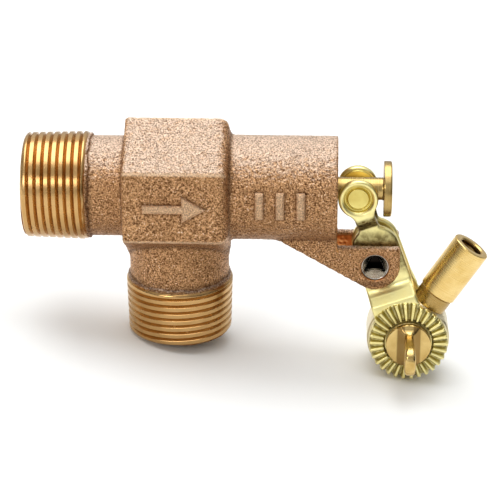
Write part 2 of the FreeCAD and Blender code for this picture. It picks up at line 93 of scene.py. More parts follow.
ARROW_HEAD_LENGTH = 6
ARROW_SHAFT_HALF = 1.1
BAR_COUNT = 3
BAR_PITCH = 5
BAR_WIDTH = 2.2
BAR_HALF_HEIGHT = 3.5
CAST_MESH_STEP = 0.42
MARK_MESH_STEP = 0.14


def soft_min(a, b, k):
    """Joins two distance fields with a fillet: the smaller, less a parabola of width k where they meet."""
    h = np.clip(0.5 + 0.5 * (b - a) / k, 0, 1)
    return b + (a - b) * h - k * h * (1 - h)


def soft_max(a, b, k):
    """Keeps what two distance fields share, with the edge between them rounded over a width k."""
    return -soft_min(-a, -b, k)


def slab(v, low, high):
    """Distance outside the layer low < v < high."""
    return np.maximum(low - v, v - high)


def ear_outline(x, z):
    """Side view of an ear: above a line tangent to the pivot circle, short of the circle's far side, round at
    the corner between, and under the barrel."""
    away = np.array((PIVOT[0] - EAR_ROOT[0], PIVOT[2] - EAR_ROOT[1]))
    slope = math.atan2(away[1], away[0]) - math.asin(EAR_R / math.hypot(*away))
    under = np.array((math.sin(slope), -math.cos(slope)))
    dx = x - PIVOT[0]
    dz = z - PIVOT[2]
    below = dx * under[0] + dz * under[1] - EAR_R
    right = dx - EAR_R
    corner = (dx * math.cos(slope) + dz * math.sin(slope) > 0) & (dz < 0)
    side = np.where(corner, np.hypot(dx, dz) - EAR_R, np.maximum(below, right))
    top = np.where(x < BARREL_END_X, z - EAR_ROOT[1], z - EAR_TOP_Z)
    return soft_max(soft_max(side, top, 0.8), EAR_ROOT[0] - 4 - x, 0.5)


def ragged(angle, seed):
    """Uneven edge of a cast skin where a turned face meets it: a few sines of the angle, about 0.3 mm."""
    return 0.16 * np.sin(5 * angle + seed) + 0.12 * np.sin(13 * angle + 2 * seed) + 0.1 * np.sin(29 * angle)


def body_limbs(p):
    """Distances to the casting's limbs, each with the width of the fillet that joins it to those before."""
    x, y, z = p[..., 0], p[..., 1], p[..., 2]
    from_axis = np.hypot(y, z)
    from_outlet = np.hypot(x - OUTLET_X, y)
    hexagon = soft_max(np.abs(y), 0.5 * np.abs(y) + COS_30 * np.abs(z), 0.8) - HEX_HALF_FLATS
    block = soft_max(soft_max(hexagon, HEX_X[0] - x, 1.1), x - HEX_X[1], 2.6)
    neck = np.maximum(from_axis - NECK_R, slab(x, THREAD_END_X - 0.5, NECK_INNER_END_X))
    barrel = soft_max(from_axis - BARREL_R, slab(x, BARREL_INNER_END_X, BARREL_END_X), 0.6)
    drop = np.maximum(from_outlet - NECK_R, slab(z, OUTLET_NECK_Z - 0.5, 0))
    outline = ear_outline(x, z)
    plates = soft_max(outline, slab(np.abs(y), *EAR_Y), 1.2)
    web = soft_max(np.maximum(outline, x - PIVOT[0] + EAR_SLOT_DEPTH), np.abs(y) - EAR_Y[1], 1.2)
    lip_end = THREAD_END_X + LIP_WIDTH + ragged(np.arctan2(z, y), 1)
    lip = np.maximum(from_axis - INLET_LIP_R, slab(x, THREAD_END_X - 0.2, lip_end))
    drop_lip_end = ragged(np.arctan2(y, x - OUTLET_X), 4) + OUTLET_NECK_Z + LIP_WIDTH
    drop_lip = np.maximum(from_outlet - OUTLET_LIP_R, slab(z, OUTLET_NECK_Z - 0.2, drop_lip_end))
    return (block, 0), (neck, 1.1), (barrel, 1.5), (drop, 1.4), (np.minimum(plates, web), 0.8), \
        (np.minimum(lip, drop_lip), 0.5)


def mould_ripple(x, y, z):
    """Unevenness that the sand leaves, up to 0.1 mm: products of sines some 2 mm long, along warped axes."""
    a = x + 0.9 * np.sin(1.3 * y + 0.7 * z)
    b = y + 0.9 * np.sin(1.1 * z + 0.9 * x)
    c = z + 0.9 * np.sin(1.2 * x - 0.8 * y)
    along = np.sin(3.0 * a)
    return 0.035 * (along * np.sin(2.7 * b) + np.sin(2.9 * b) * np.sin(3.2 * c) + np.sin(2.8 * c) * along)


def cast_body_field(p):
    """Distance to the casting's skin: soft union of its limbs with the mould's ripple, less the faced end and
    the bores, which are cut with near-sharp edges."""
    x, y, z = p[..., 0], p[..., 1], p[..., 2]
    limbs = body_limbs(p)
    skin = limbs[0][0]
    for limb, fillet in limbs[1:]:
        skin = soft_min(skin, limb, fillet)
    skin = skin + mould_ripple(x, y, z)
    skin = soft_max(skin, x - BARREL_END_X - np.where(z < EAR_TOP_Z + 0.6, FAR, 0), 0.3)
    return soft_max(skin, -body_bores(x, y, z, np.hypot(y, z), np.hypot(x - OUTLET_X, y)), 0.35)


def arrow_field(p):
    """Arrow outline, a strip and a wedge of about 60 degrees, raised from the block's flat; rounded edges."""
    x, y, z = p[..., 0], p[..., 1], p[..., 2]
    tail, tip = HEX_X[0] + 5, HEX_X[1] - 5
    shaft = np.maximum(slab(x, tail, tip - ARROW_HEAD_LENGTH / 2), np.abs(z) - ARROW_SHAFT_HALF)
    head = np.maximum(tip - ARROW_HEAD_LENGTH - x, (x - tip) * 0.494 + np.abs(z) * 0.869)
    height = slab(-y, HEX_HALF_FLATS - 0.5, HEX_HALF_FLATS + MARK_HEIGHT)
    return soft_max(np.minimum(shaft, head), height, 1.0)


def bars_field(p):
    """Three bars that follow the barrel's curve, rounded over their edges."""
    x, y, z = p[..., 0], p[..., 1], p[..., 2]
    bars = np.full(x.shape, FAR)
    for i in range(BAR_COUNT):
        start = HEX_X[1] + 6.5 + BAR_PITCH * i
        bars = np.minimum(bars, soft_max(slab(x, start, start + BAR_WIDTH), np.abs(z) - BAR_HALF_HEIGHT, 0.5))
    height = slab(np.hypot(y, z), BARREL_R - 0.5, BARREL_R + MARK_HEIGHT)
    return soft_max(bars, height, 1.0) + FAR * (y > 0)


def crease_shade_share(p):
    """Painted shade: 1 in the fillets and beside the turned shoulders, 0.8 at the foot of the raised marks as
    a painted shadow, and 0 on open skin."""
    limbs = body_limbs(p)
    sharp = limbs[0][0]
    hidden = np.zeros(sharp.shape)
    for limb, fillet in limbs[1:]:
        hidden = np.maximum(hidden, np.clip(1 - np.abs(limb - sharp) / (fillet * 0.8), 0, 1))
        sharp = np.minimum(sharp, limb)
    shoulder = np.abs(p[..., 0] - THREAD_END_X - LIP_WIDTH) + FAR * (p[..., 2] < OUTLET_NECK_Z + 6)
    shoulder = np.minimum(shoulder, np.abs(p[..., 2] - OUTLET_NECK_Z - LIP_WIDTH))
    foot = np.clip(1 - np.maximum(np.minimum(arrow_field(p), bars_field(p)), 0) / 0.7, 0, 1)
    return np.maximum(np.maximum(hidden, 0.8 * foot), np.clip(1 - shoulder / 1.3, 0, 1))


def smooth_step(v, low, high):
    """0 below low, 1 above high, and an S between them."""
    s = np.clip((v - low) / (high - low), 0, 1)
    return s * s * (3 - 2 * s)


def upward_slope(p):
    """Upward part of the skin's outward normal, from the field's own slope: 1 facing up, -1 facing down."""
    up = np.array((0, 0, 0.05))
    return np.clip((cast_body_field(p + up) - cast_body_field(p - up)) / 0.1, -1, 1)


def edge_wear_and_highlight_share(p):
    """1 along the block's six long edges, which rub bright in the blasting drum and also carry a painted
    highlight; 0 half a millimetre away.
    """
    x, y, z = np.abs(p[..., 0] - 0.5 * sum(HEX_X)), np.abs(p[..., 1]), np.abs(p[..., 2])
    side_ridge = np.abs(0.5 * y - COS_30 * z)
    top_ridge = y + FAR * (z < HEX_HALF_FLATS)
    from_axis = np.hypot(y, z)
    on_block = (x < 0.5 * (HEX_X[1] - HEX_X[0])) & (slab(from_axis, HEX_HALF_FLATS + 0.6, HEX_OUTSIDE_R) < 0)
    return np.clip(1 - np.minimum(side_ridge, top_ridge) / 0.55, 0, 1) * on_block


def body_bores(x, y, z, from_axis, from_outlet):
    """Distance outside the bored and drilled spaces: waterways, seat hole, barrel, pin hole and recesses."""
    bores = np.maximum(from_axis - BORE_R, SEAT_WEB_X[1] - x)
    bores = np.minimum(bores, np.maximum(from_axis - SEAT_HOLE_R, SEAT_WEB_X[0] - 1 - x))
    bores = np.minimum(bores, np.maximum(from_axis - WATERWAY_R, x - SEAT_WEB_X[0]))
    bores = np.minimum(bores, np.maximum(from_outlet - WATERWAY_R, z))
    from_pin = np.hypot(x - PIVOT[0], z - PIVOT[2])
    recess = np.maximum(from_pin - PIN_RECESS_R, EAR_Y[1] - 0.9 - np.abs(y))
    return np.minimum(bores, np.minimum(from_pin - PIN_R, recess))


def machined_share(p):
    """1 where a cutter has passed, in the bores, on the barrel's end and in the ears' slot, else 0."""
    x, y, z = p[..., 0], p[..., 1], p[..., 2]
    inside = body_bores(x, y, z, np.hypot(y, z), np.hypot(x - OUTLET_X, y)) < 0.12
    faced = (np.abs(x - BARREL_END_X) < 0.12) & (z > EAR_TOP_Z - 1)
    on_ears = (x > PIVOT[0] - EAR_SLOT_DEPTH + 0.1) & (z < EAR_TOP_Z - 0.2)
    slotted = (np.abs(np.abs(y) - EAR_Y[0]) < 0.12) & on_ears
    return (inside | faced | slotted).astype(float)


def net_surface(field, low, high, step):
    """Surface where a field of points is zero. The field is worked out on a grid; each cell that it crosses
    gets one point, the mean of the crossings on its edges, and each crossed edge joins its four cells' points
    in a quad. The points then slide along the field's slope on to the surface."""
    low = np.array(low, float)
    axes = [np.arange(a, b + step, step) for a, b in zip(low, high)]
    value = field(np.stack(np.meshgrid(*axes, indexing="ij"), axis=-1))
    cells = tuple(n - 1 for n in value.shape)
    sums = np.zeros((int(np.prod(cells)), 3))
    hits = np.zeros(len(sums))
    quads = []
    for axis in range(3):
        count = value.shape[axis]
        near = np.take(value, np.arange(count - 1), axis)
        far = np.take(value, np.arange(1, count), axis)
        edge = np.argwhere((near < 0) != (far < 0))
        at = tuple(edge.T)
        share = near[at] / (near[at] - far[at])
        crossing = low + edge * step
        crossing[:, axis] += share * step
        ring = []
        for du, dv in ((0, 0), (1, 0), (1, 1), (0, 1)):
            cell = edge.copy()
            cell[:, (axis + 1) % 3] -= du
            cell[:, (axis + 2) % 3] -= dv
            flat = np.ravel_multi_index(tuple(cell.T), cells)
            for i in range(3):
                sums[:, i] += np.bincount(flat, crossing[:, i], len(sums))
            hits += np.bincount(flat, minlength=len(sums))
            ring.append(flat)
        quad = np.stack(ring, 1)
        quads.append(np.where((near[at] < 0)[:, None], quad, quad[:, ::-1]))
    quads = np.concatenate(quads)
    used, faces = np.unique(quads, return_inverse=True)
    points = sums[used] / hits[used][:, None]
    tiny = 0.02
    nudges = tiny * np.eye(3)
    for _ in range(4):
        slope = np.stack([(field(points + n) - field(points - n)) / (2 * tiny) for n in nudges], -1)
        steep = np.maximum((slope ** 2).sum(-1), 0.05)
        move = np.clip(field(points) / steep, -step / 3, step / 3)
        points = points - move[:, None] * slope
    return points, faces.reshape(-1, 4)


def add_piece(name, points, faces, material, body, stands_for, sharp_deg=None, attributes=None):
    """Puts points in millimetres and quads into a mesh, joins what coincides, turns faces outwards, and ties
    the piece to its body. Attributes are one number a point, for its material to read."""
    mesh = bpy.data.meshes.new(name)
    mesh.vertices.add(len(points))
    mesh.vertices.foreach_set("co", (np.asarray(points, np.float32) * MM).ravel())
    mesh.loops.add(faces.size)
    mesh.loops.foreach_set("vertex_index", faces.ravel().astype(np.int32))
    mesh.polygons.add(len(faces))
    mesh.polygons.foreach_set("loop_start", np.arange(0, faces.size, 4, dtype=np.int32))
    mesh.polygons.foreach_set("loop_total", np.full(len(faces), 4, np.int32))
    mesh.update(calc_edges=True)
    for label, values in (attributes or {}).items():
        mesh.attributes.new(label, "FLOAT", "POINT").data.foreach_set("value", np.asarray(values, np.float32))
    mesh.validate()
    work = bmesh.new()
    work.from_mesh(mesh)
    bmesh.ops.remove_doubles(work, verts=work.verts, dist=2e-7)
    bmesh.ops.dissolve_degenerate(work, edges=work.edges, dist=1e-7)
    bmesh.ops.recalc_face_normals(work, faces=work.faces)
    work.to_mesh(mesh)
    work.free()
    mesh.shade_smooth()
    if sharp_deg is not None:
        mesh.set_sharp_from_angle(angle=math.radians(sharp_deg))
    mesh.materials.append(material)
    piece = bpy.data.objects.new(name, mesh)
    scene.collection.objects.link(piece)
    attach(piece, body)
    if stands_for:
        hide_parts(*stands_for)


def linear(hex_colour):
    """sRGB hex to the linear colour that a shader takes, with alpha 1."""
    shares = [int(hex_colour[i:i + 2], 16) / 255 for i in (1, 3, 5)]
    return tuple(c / 12.92 if c <= 0.04045 else ((c + 0.055) / 1.055) ** 2.4 for c in shares) + (1,)


def add_node(tree, kind, inputs=None, **settings):
    """One shader node with its settings; an input takes a value, or the socket that feeds it."""
    node = tree.nodes.new("ShaderNode" + kind)
    for key, value in settings.items():
        setattr(node, key, value)
    for key, value in (inputs or {}).items():
        if isinstance(value, bpy.types.NodeSocket):
            tree.links.new(value, node.inputs[key])
        else:
            node.inputs[key].default_value = value
    return node


def new_material(name, roughness, metallic=1.0, colour="#FFFFFF"):
    """A material with one surface, a metal unless told otherwise; the caller links what varies over it."""
    material = bpy.data.materials.new(name)
    material.use_nodes = True
    surface = material.node_tree.nodes["Principled BSDF"]
    surface.inputs["Metallic"].default_value = metallic
    surface.inputs["Roughness"].default_value = roughness
    surface.inputs["Base Color"].default_value = linear(colour)
    return material, material.node_tree, surface


def per_mm(size):
    """Texture scale, in repeats per metre, of a pattern of the given size in millimetres."""
    return 1 / (size * MM)


def sand_cast_bronze():
    """Red bronze as it leaves the sand and the shot blaster: dull brown, printed with sand grains of about
    0.4 mm whose gaps are dark and whose tops carry a painted whitish glint. Upward faces are painted pale,
    partly a dusty coat and partly a painted sheen; the fillets, the turned shoulders, the feet of the raised
    marks and the downward faces are painted darker as shade; and the block's long edges, worn bright, also
    carry a painted highlight. Where a cutter has passed it is smooth and golden."""
    material, tree, surface = new_material("sand_cast_red_bronze", 0.5)
    place = add_node(tree, "TexCoord").outputs["Object"]
    cut = add_node(tree, "Attribute", attribute_name="machined").outputs["Fac"]
    grain = add_node(tree, "TexNoise", {"Vector": place, "Scale": per_mm(0.38), "Detail": 2.0,
                                        "Roughness": 0.6})
    lumps = add_node(tree, "TexNoise", {"Vector": place, "Scale": per_mm(1.3), "Detail": 2.0})
    patches = add_node(tree, "TexNoise", {"Vector": place, "Scale": per_mm(9.0), "Detail": 2.0})
    ramp = add_node(tree, "ValToRGB", {"Fac": grain.outputs["Fac"]})
    ramp.color_ramp.elements[0].position = 0.36
    ramp.color_ramp.elements[0].color = linear("#603B23")
    ramp.color_ramp.elements[1].position = 0.66
    ramp.color_ramp.elements[1].color = linear("#EDB883")
    # Painted glint: the highest grain tops turn nearly white.
    glint = ramp.color_ramp.elements.new(0.72)
    glint.color = linear("#FFF0E0")
    worn = add_node(tree, "MapRange", {"Value": patches.outputs["Fac"], "From Min": 0.35, "From Max": 0.7,
                                       "To Min": 0.0, "To Max": 0.3})
    skin = add_node(tree, "Mix", {"Factor": worn.outputs["Result"], 6: ramp.outputs["Color"],
                                  7: linear("#B98A5C")}, data_type="RGBA")
    # Painted shade: the fillets, the shoulders, the marks' feet and faces that look down are mixed towards
    # dark brown.
    painted_shade = add_node(tree, "Attribute", attribute_name="painted_shade").outputs["Fac"]
    shade_amount = add_node(tree, "Math", {0: painted_shade, 1: 0.6}, operation="MULTIPLY")
    shaded_skin = add_node(tree, "Mix", {"Factor": shade_amount.outputs["Value"], 6: skin.outputs[2], 7: linear("#4A2F20")},
                     data_type="RGBA")
    # Painted sheen, partly a dusty coat: faces that look up are mixed towards a pale grain ramp.
    dust_and_sheen = add_node(tree, "Attribute", attribute_name="dust_and_sheen").outputs["Fac"]
    pale = add_node(tree, "ValToRGB", {"Fac": grain.outputs["Fac"]})
    pale.color_ramp.elements[0].position = 0.32
    pale.color_ramp.elements[0].color = linear("#86705C")
    pale.color_ramp.elements[1].position = 0.6
    pale.color_ramp.elements[1].color = linear("#F7DDC6")
    dusted = add_node(tree, "Mix", {"Factor": dust_and_sheen, 6: shaded_skin.outputs[2], 7: pale.outputs["Color"]},
                      data_type="RGBA")
    # Painted highlight, partly real wear: the block's edges and the tops of the raised marks are mixed
    # towards pale gold.
    edge_highlight = add_node(tree, "Attribute", attribute_name="edge").outputs["Fac"]
    edge_highlight_share = add_node(tree, "Math", {0: edge_highlight, 1: 0.75}, operation="MULTIPLY")
    bright = add_node(tree, "Mix", {"Factor": edge_highlight_share.outputs["Value"], 6: dusted.outputs[2],
                                    7: linear("#F0D2B0")}, data_type="RGBA")
    tint = add_node(tree, "Mix", {"Factor": cut, 6: bright.outputs[2], 7: linear("#C98A52")},
                    data_type="RGBA")
    tree.links.new(tint.outputs[2], surface.inputs["Base Color"])
    rough = add_node(tree, "MapRange", {"Value": grain.outputs["Fac"], "From Min": 0.32, "From Max": 0.68,
                                        "To Min": 0.6, "To Max": 0.3})
    smoother = add_node(tree, "Mix", {"Factor": cut, 2: rough.outputs["Result"], 3: 0.28}, data_type="FLOAT")
    tree.links.new(smoother.outputs[0], surface.inputs["Roughness"])
    relief = add_node(tree, "Math", {0: 1.0, 1: cut}, operation="SUBTRACT")
    coarse = add_node(tree, "Bump", {"Height": lumps.outputs["Fac"], "Strength": relief.outputs["Value"],
                                     "Distance": 0.42 * MM})
    fine = add_node(tree, "Bump", {"Height": grain.outputs["Fac"], "Strength": relief.outputs["Value"],
                                   "Distance": 0.44 * MM, "Normal": coarse.outputs["Normal"]})
    tree.links.new(fine.outputs["Normal"], surface.inputs["Normal"])
    return material


cast_bronze = sand_cast_bronze()
body_points, body_faces = net_surface(cast_body_field, (14.4, -17.4, -25.2), (93.6, 17.2, 19.2),
                                       CAST_MESH_STEP)
lift = upward_slope(body_points)
add_piece("cast_body", body_points, body_faces, cast_bronze, "valve_body", ["body_casting"],
          None, {"machined": machined_share(body_points), "edge": edge_wear_and_highlight_share(body_points),
                 # Painted sheen, partly dusty: up to 0.8 on faces that look up.
                 "dust_and_sheen": 0.8 * smooth_step(lift, 0.42, 0.95),
                 # Painted shade on faces that look down, on top of the fillets' painted shade.
                 "painted_shade": np.maximum(crease_shade_share(body_points), 0.4 * smooth_step(-lift, 0.1, 0.8))})

# ---- Raised marks ----
# The pattern carries a flow arrow on the block's front flat and three plain bars on the barrel, which the
# mould prints as low ribs with rounded edges.
for mark, field, low, high in (("flow_arrow", arrow_field, (29.2, -16.8, -3.9), (45.6, -14.6, 3.9)),
                               ("barrel_bars", bars_field, (56.1, -14.2, -4.0), (69.3, -11.4, 4.0))):
    mark_points, mark_faces = net_surface(field, low, high, MARK_MESH_STEP)
    # The marks' tops take half of the pale edge colour, a painted highlight.
    add_piece(mark, mark_points, mark_faces, cast_bronze, "valve_body", ["body_casting"],
              None, {"edge": np.full(len(mark_points), 0.5)})

# ---- Pipe threads ----
# Both ends of the casting are turned and threaded in a lathe with a 14 per inch tapered pipe thread.
# The cut metal is bright golden bronze, and the tool's feed leaves fine rings.
PIPE_OD = 26.67
PITCH = 25.4 / 14
TAPER = 1 / 32
THREAD_DEPTH = 0.72
GROOVE_SHARE = 0.5
THREAD_END_R = PIPE_OD / 2 - THREAD_END_X * TAPER
MOUTH_CHAMFER = 0.4
THREAD_SHARP_DEG = 50
OUTLET_THREAD_LENGTH = 14.2
OUTLET_END = (OUTLET_X, 0, -37.6)
TURN_STEPS = 240
PHASES = np.array((0, 0.2, 0.25, 0.29, 0.35, 0.41, 0.46, 0.5, 0.54, 0.59, 0.65, 0.71, 0.75, 0.8))


def along_axis(points, origin, axis):
    """Points drawn about +X are turned to the axis and moved to the origin."""
    turn = np.array(Vector((1, 0, 0)).rotation_difference(Vector(axis)).to_matrix())
    return points @ turn.T + np.array(origin)


def thread_radius(x, turn_share, length):
    """Tapered crest radius, less a rounded V groove that takes half of each pitch. The groove's phase is the
    distance in pitches less the share of a turn. It fades out at the shoulder, and a cone chamfers the
    mouth."""
    phase = (x / PITCH - turn_share) % 1
    groove = np.clip(1 - np.abs(phase - 0.5) / (GROOVE_SHARE / 2), 0, 1)
    groove = groove * (1 - 0.3 * (1 - groove) ** 2)
    depth = THREAD_DEPTH * np.clip((length - x) / PITCH + 0.25, 0, 1)
    crest = THREAD_END_R + x * TAPER
    cone = THREAD_END_R - THREAD_DEPTH + 0.15 + 1.1 * x
    shoulder = crest - 0.6 + (length - x)
    return np.minimum(np.minimum(crest - depth * groove, cone), shoulder)


def threaded_spigot(length, bore_r):
    """Helix surface: rows run along the helix, so row + one turn meets the next turn's row; the two end faces
    and the bore close it. Distance along = pitch x (row + share of a turn), held between the two ends."""
    turns = int(length / PITCH) + 3
    row = (np.arange(turns)[:, None] + PHASES[None, :]).ravel() - 1
    share = np.arange(TURN_STEPS) / TURN_STEPS
    x = np.clip(PITCH * (row[None, :] + share[:, None]), 0, length)
    r = thread_radius(x, share[:, None], length)
    angle = 2 * math.pi * share[:, None]
    helix = np.stack((x, r * np.cos(angle), r * np.sin(angle)), -1)
    i, j = np.meshgrid(np.arange(TURN_STEPS), np.arange(len(row) - 1), indexing="ij")
    wraps = i == TURN_STEPS - 1
    keep = ~wraps | (j + 1 + len(PHASES) < len(row))
    i, j, wraps = i[keep], j[keep], wraps[keep]
    next_i = np.where(wraps, 0, i + 1)
    next_j = j + np.where(wraps, len(PHASES), 0)
    index = np.arange(helix.shape[0] * helix.shape[1]).reshape(helix.shape[:2])
    faces = np.stack((index[i, j], index[i, j + 1], index[next_i, next_j + 1], index[next_i, next_j]), -1)
    points = [helix.reshape(-1, 3)]
    quads = [faces]
    for end_x in (0.0, length):
        outer = thread_radius(np.full(share.shape, end_x), share, length)
        inner = bore_r + MOUTH_CHAMFER * (end_x == 0)
        add_ring(points, quads, share, (end_x, end_x), (outer, inner))
    add_ring(points, quads, share, (0, MOUTH_CHAMFER), (bore_r + MOUTH_CHAMFER, bore_r))
    add_ring(points, quads, share, (MOUTH_CHAMFER, length), (bore_r, bore_r))
    return np.concatenate(points), np.concatenate(quads)


def add_ring(points, quads, share, xs, radii):
    """Band between two circles about +X, each at its own distance; a radius is one number or one a point."""
    start = sum(len(p) for p in points)
    angle = 2 * math.pi * share
    for x, r in zip(xs, radii):
        points.append(np.stack((np.full(share.shape, x), r * np.cos(angle), r * np.sin(angle)), -1))
    a = start + np.arange(len(share))
    b = start + (np.arange(len(share)) + 1) % len(share)
    quads.append(np.stack((a, b, b + len(share), a + len(share)), -1))


def lathe_cut_bronze():
    """The same bronze freshly cut: golden and bright, with cloudy smears and fine scratches."""
    material, tree, surface = new_material("lathe_cut_bronze", 0.26)
    place = add_node(tree, "TexCoord").outputs["Object"]
    smear = add_node(tree, "TexNoise", {"Vector": place, "Scale": per_mm(5.0), "Detail": 3.0})
    scratch = add_node(tree, "TexNoise", {"Vector": place, "Scale": per_mm(0.35), "Detail": 2.0})
    tint = add_node(tree, "Mix", {"Factor": smear.outputs["Fac"], 6: linear("#A87E48"), 7: linear("#D9B27A")},
                    data_type="RGBA")
    tree.links.new(tint.outputs[2], surface.inputs["Base Color"])
    rough = add_node(tree, "MapRange", {"Value": smear.outputs["Fac"], "From Min": 0.3, "From Max": 0.7,
                                        "To Min": 0.2, "To Max": 0.3})
    tree.links.new(rough.outputs["Result"], surface.inputs["Roughness"])
    bump = add_node(tree, "Bump", {"Height": scratch.outputs["Fac"], "Strength": 0.2, "Distance": 0.03 * MM})
    tree.links.new(bump.outputs["Normal"], surface.inputs["Normal"])
    return material


cut_bronze = lathe_cut_bronze()
inlet_points, inlet_faces = threaded_spigot(THREAD_END_X, WATERWAY_R)
add_piece("inlet_thread", inlet_points, inlet_faces, cut_bronze, "valve_body",
          ["body_casting"], THREAD_SHARP_DEG)
outlet_points, outlet_faces = threaded_spigot(OUTLET_THREAD_LENGTH, WATERWAY_R)
outlet_points = along_axis(outlet_points, OUTLET_END, (0, 0, 1))
add_piece("outlet_thread", outlet_points, outlet_faces, cut_bronze, "valve_body",
          ["body_casting"], THREAD_SHARP_DEG)

# ---- Seat, seals and bush ----
# Inside the body sit a turned bronze seat on a fibre gasket, a rubber disc held by a screw and washer, and
# two rubber rings; a turned bush spaces the cheeks. They keep their modelled solids and get only finishes.


def moulded_rubber():
    """Black nitrile rubber, moulded: matt, a little uneven and dusted grey."""
    material, tree, surface = new_material("moulded_nitrile_rubber", 0.55, 0.0)
    place = add_node(tree, "TexCoord").outputs["Object"]
    dust_and_sheen = add_node(tree, "TexNoise", {"Vector": place, "Scale": per_mm(1.1), "Detail": 3.0})
    tint = add_node(tree, "Mix", {"Factor": dust_and_sheen.outputs["Fac"], 6: linear("#141414"), 7: linear("#34332F")},
                    data_type="RGBA")
    tree.links.new(tint.outputs[2], surface.inputs["Base Color"])
    bump = add_node(tree, "Bump", {"Height": dust_and_sheen.outputs["Fac"], "Strength": 0.2, "Distance": 0.05 * MM})
    tree.links.new(bump.outputs["Normal"], surface.inputs["Normal"])
    return material


def pressed_fibre():
    """Vulcanised fibre board: dull red brown, mottled by its paper fibres."""
    material, tree, surface = new_material("pressed_red_fibre", 0.7, 0.0)
    place = add_node(tree, "TexCoord").outputs["Object"]
    fibres = add_node(tree, "TexNoise", {"Vector": place, "Scale": per_mm(0.7), "Detail": 4.0,
                                         "Distortion": 1.0})
    tint = add_node(tree, "Mix", {"Factor": fibres.outputs["Fac"], 6: linear("#5E2A1C"),
                                  7: linear("#A2583F")}, data_type="RGBA")
    tree.links.new(tint.outputs[2], surface.inputs["Base Color"])
    bump = add_node(tree, "Bump", {"Height": fibres.outputs["Fac"], "Strength": 0.4, "Distance": 0.06 * MM})
    tree.links.new(bump.outputs["Normal"], surface.inputs["Normal"])
    return material


rubber = moulded_rubber()
kept_finishes = {"seat_ring": cut_bronze, "seat_gasket": pressed_fibre(), "seat_disc": rubber,
                 "piston_ring_front": rubber, "piston_ring_rear": rubber, "disc_washer": cut_bronze,
                 "disc_screw": cut_bronze, "pivot_bush": cut_bronze}
for node_name, finish in kept_finishes.items():
    cad_nodes[node_name].data.materials.clear()
    cad_nodes[node_name].data.materials.append(finish)

# ---- Eye and lever cheeks ----
# Two mirror-image cheeks are blanked and bent from 2 mm brass sheet: a pierced eye, a hub and a round end.
# The press rounds their edges and coins a ring of radial teeth round the clamp screw's hole.
EYE = np.array((81.61, 0.0, -0.853))
CROWN = np.array((86.2, 0.0, -14.6))
KNUCKLE = np.array((94.8, 0.0, -38.4))
EYE_R = 4.9
CROWN_R = 5.87
SERRATED_R = 9.85
TEETH_INNER_R = 5.95
TOOTH_COUNT = 30
HUB_INNER_Y = 1.6
EYE_INNER_Y = 3.85
KNUCKLE_INNER_Y = 5.0
SHEET = 2.0
STUD_R = 3.4
SCREW_HOLE_R = 3.15
NECK_HALF_WIDTH = 2.5
UPPER_BEND = (5.5, 9.7)
LOWER_BEND = (9.4, 16.0)
TOOTH_RISE = 0.72
CHEEK_MESH_STEP = 0.2


def bend(v, low, high):
    """0 below low, 1 above high, a straight slope between them that is rounded at either end."""
    s = np.clip((v - low) / (high - low), 0, 1)
    turn = 0.42
    start = s * s / (2 * turn * (1 - turn))
    finish = 1 - (1 - s) ** 2 / (2 * turn * (1 - turn))
    middle = (s - turn / 2) / (1 - turn)
    return np.where(s < turn, start, np.where(s > 1 - turn, finish, middle))


def strip_distance(x, z, start, end, half_width):
    """Distance outside a straight strip with round ends, in side view."""
    dx, dz = end[0] - start[0], end[2] - start[2]
    share = np.clip(((x - start[0]) * dx + (z - start[2]) * dz) / (dx * dx + dz * dz), 0, 1)
    return np.hypot(x - start[0] - share * dx, z - start[2] - share * dz) - half_width


def cheek_field(p):
    """Sheet of even thickness whose inner face steps out by two S bends, inside the blank's outline. The
    outer face of the round end carries teeth: a flat-topped cosine of 30 times the angle."""
    x, y, z = p[..., 0], p[..., 1], p[..., 2]
    up = (EYE - CROWN) / np.linalg.norm(EYE - CROWN)
    down = (KNUCKLE - CROWN) / np.linalg.norm(KNUCKLE - CROWN)
    along_up = (x - CROWN[0]) * up[0] + (z - CROWN[2]) * up[2]
    along_down = (x - CROWN[0]) * down[0] + (z - CROWN[2]) * down[2]
    upper = bend(along_up, *UPPER_BEND)
    lower = bend(along_down, *LOWER_BEND)
    inner = HUB_INNER_Y + (EYE_INNER_Y - HUB_INNER_Y) * upper + (KNUCKLE_INNER_Y - HUB_INNER_Y) * lower
    sloping = np.clip(4 * np.minimum(upper, 1 - upper), 0, 1)
    sloping = sloping + np.clip(4 * np.minimum(lower, 1 - lower), 0, 1)
    lean = 1 / np.sqrt(1 + 0.5 * sloping)
    from_eye = np.hypot(x - EYE[0], z - EYE[2])
    from_knuckle = np.hypot(x - KNUCKLE[0], z - KNUCKLE[2])
    tooth_phase = TOOTH_COUNT * np.arctan2(z - KNUCKLE[2], x - KNUCKLE[0])
    crest = np.clip(0.5 + 0.95 * np.cos(tooth_phase), 0, 1)
    toothed = (from_knuckle < SERRATED_R + 1) * (along_down > 12)
    ring = smooth_step(from_knuckle, TEETH_INNER_R, TEETH_INNER_R + 0.3)
    valley = 0.25 + 0.45 * smooth_step(from_knuckle, 8.0, SERRATED_R)
    top = SHEET / lean + toothed * (ring * (TOOTH_RISE * crest - valley * (1 - crest)) - 0.45 * (1 - ring))
    round_end = from_knuckle - SERRATED_R + 0.12 * (1 - crest)
    outline = np.minimum(strip_distance(x, z, CROWN, KNUCKLE, CROWN_R), round_end)
    neck = strip_distance(x, z, CROWN, EYE, NECK_HALF_WIDTH)
    outline = soft_min(outline, soft_min(neck, from_eye - EYE_R, 1.2), 0.8)
    sheet = soft_max(outline, np.maximum(inner - y, y - inner - top) * lean, 0.7)
    holes = np.minimum(np.hypot(x - PIVOT[0], z - PIVOT[2]) - PIN_R - 0.3, from_knuckle - SCREW_HOLE_R)
    holes = np.minimum(holes, from_eye - STUD_R - 0.45 * smooth_step(y, EYE_INNER_Y + 1.3, EYE_INNER_Y + 2))
    return soft_max(sheet, -holes, 0.4)


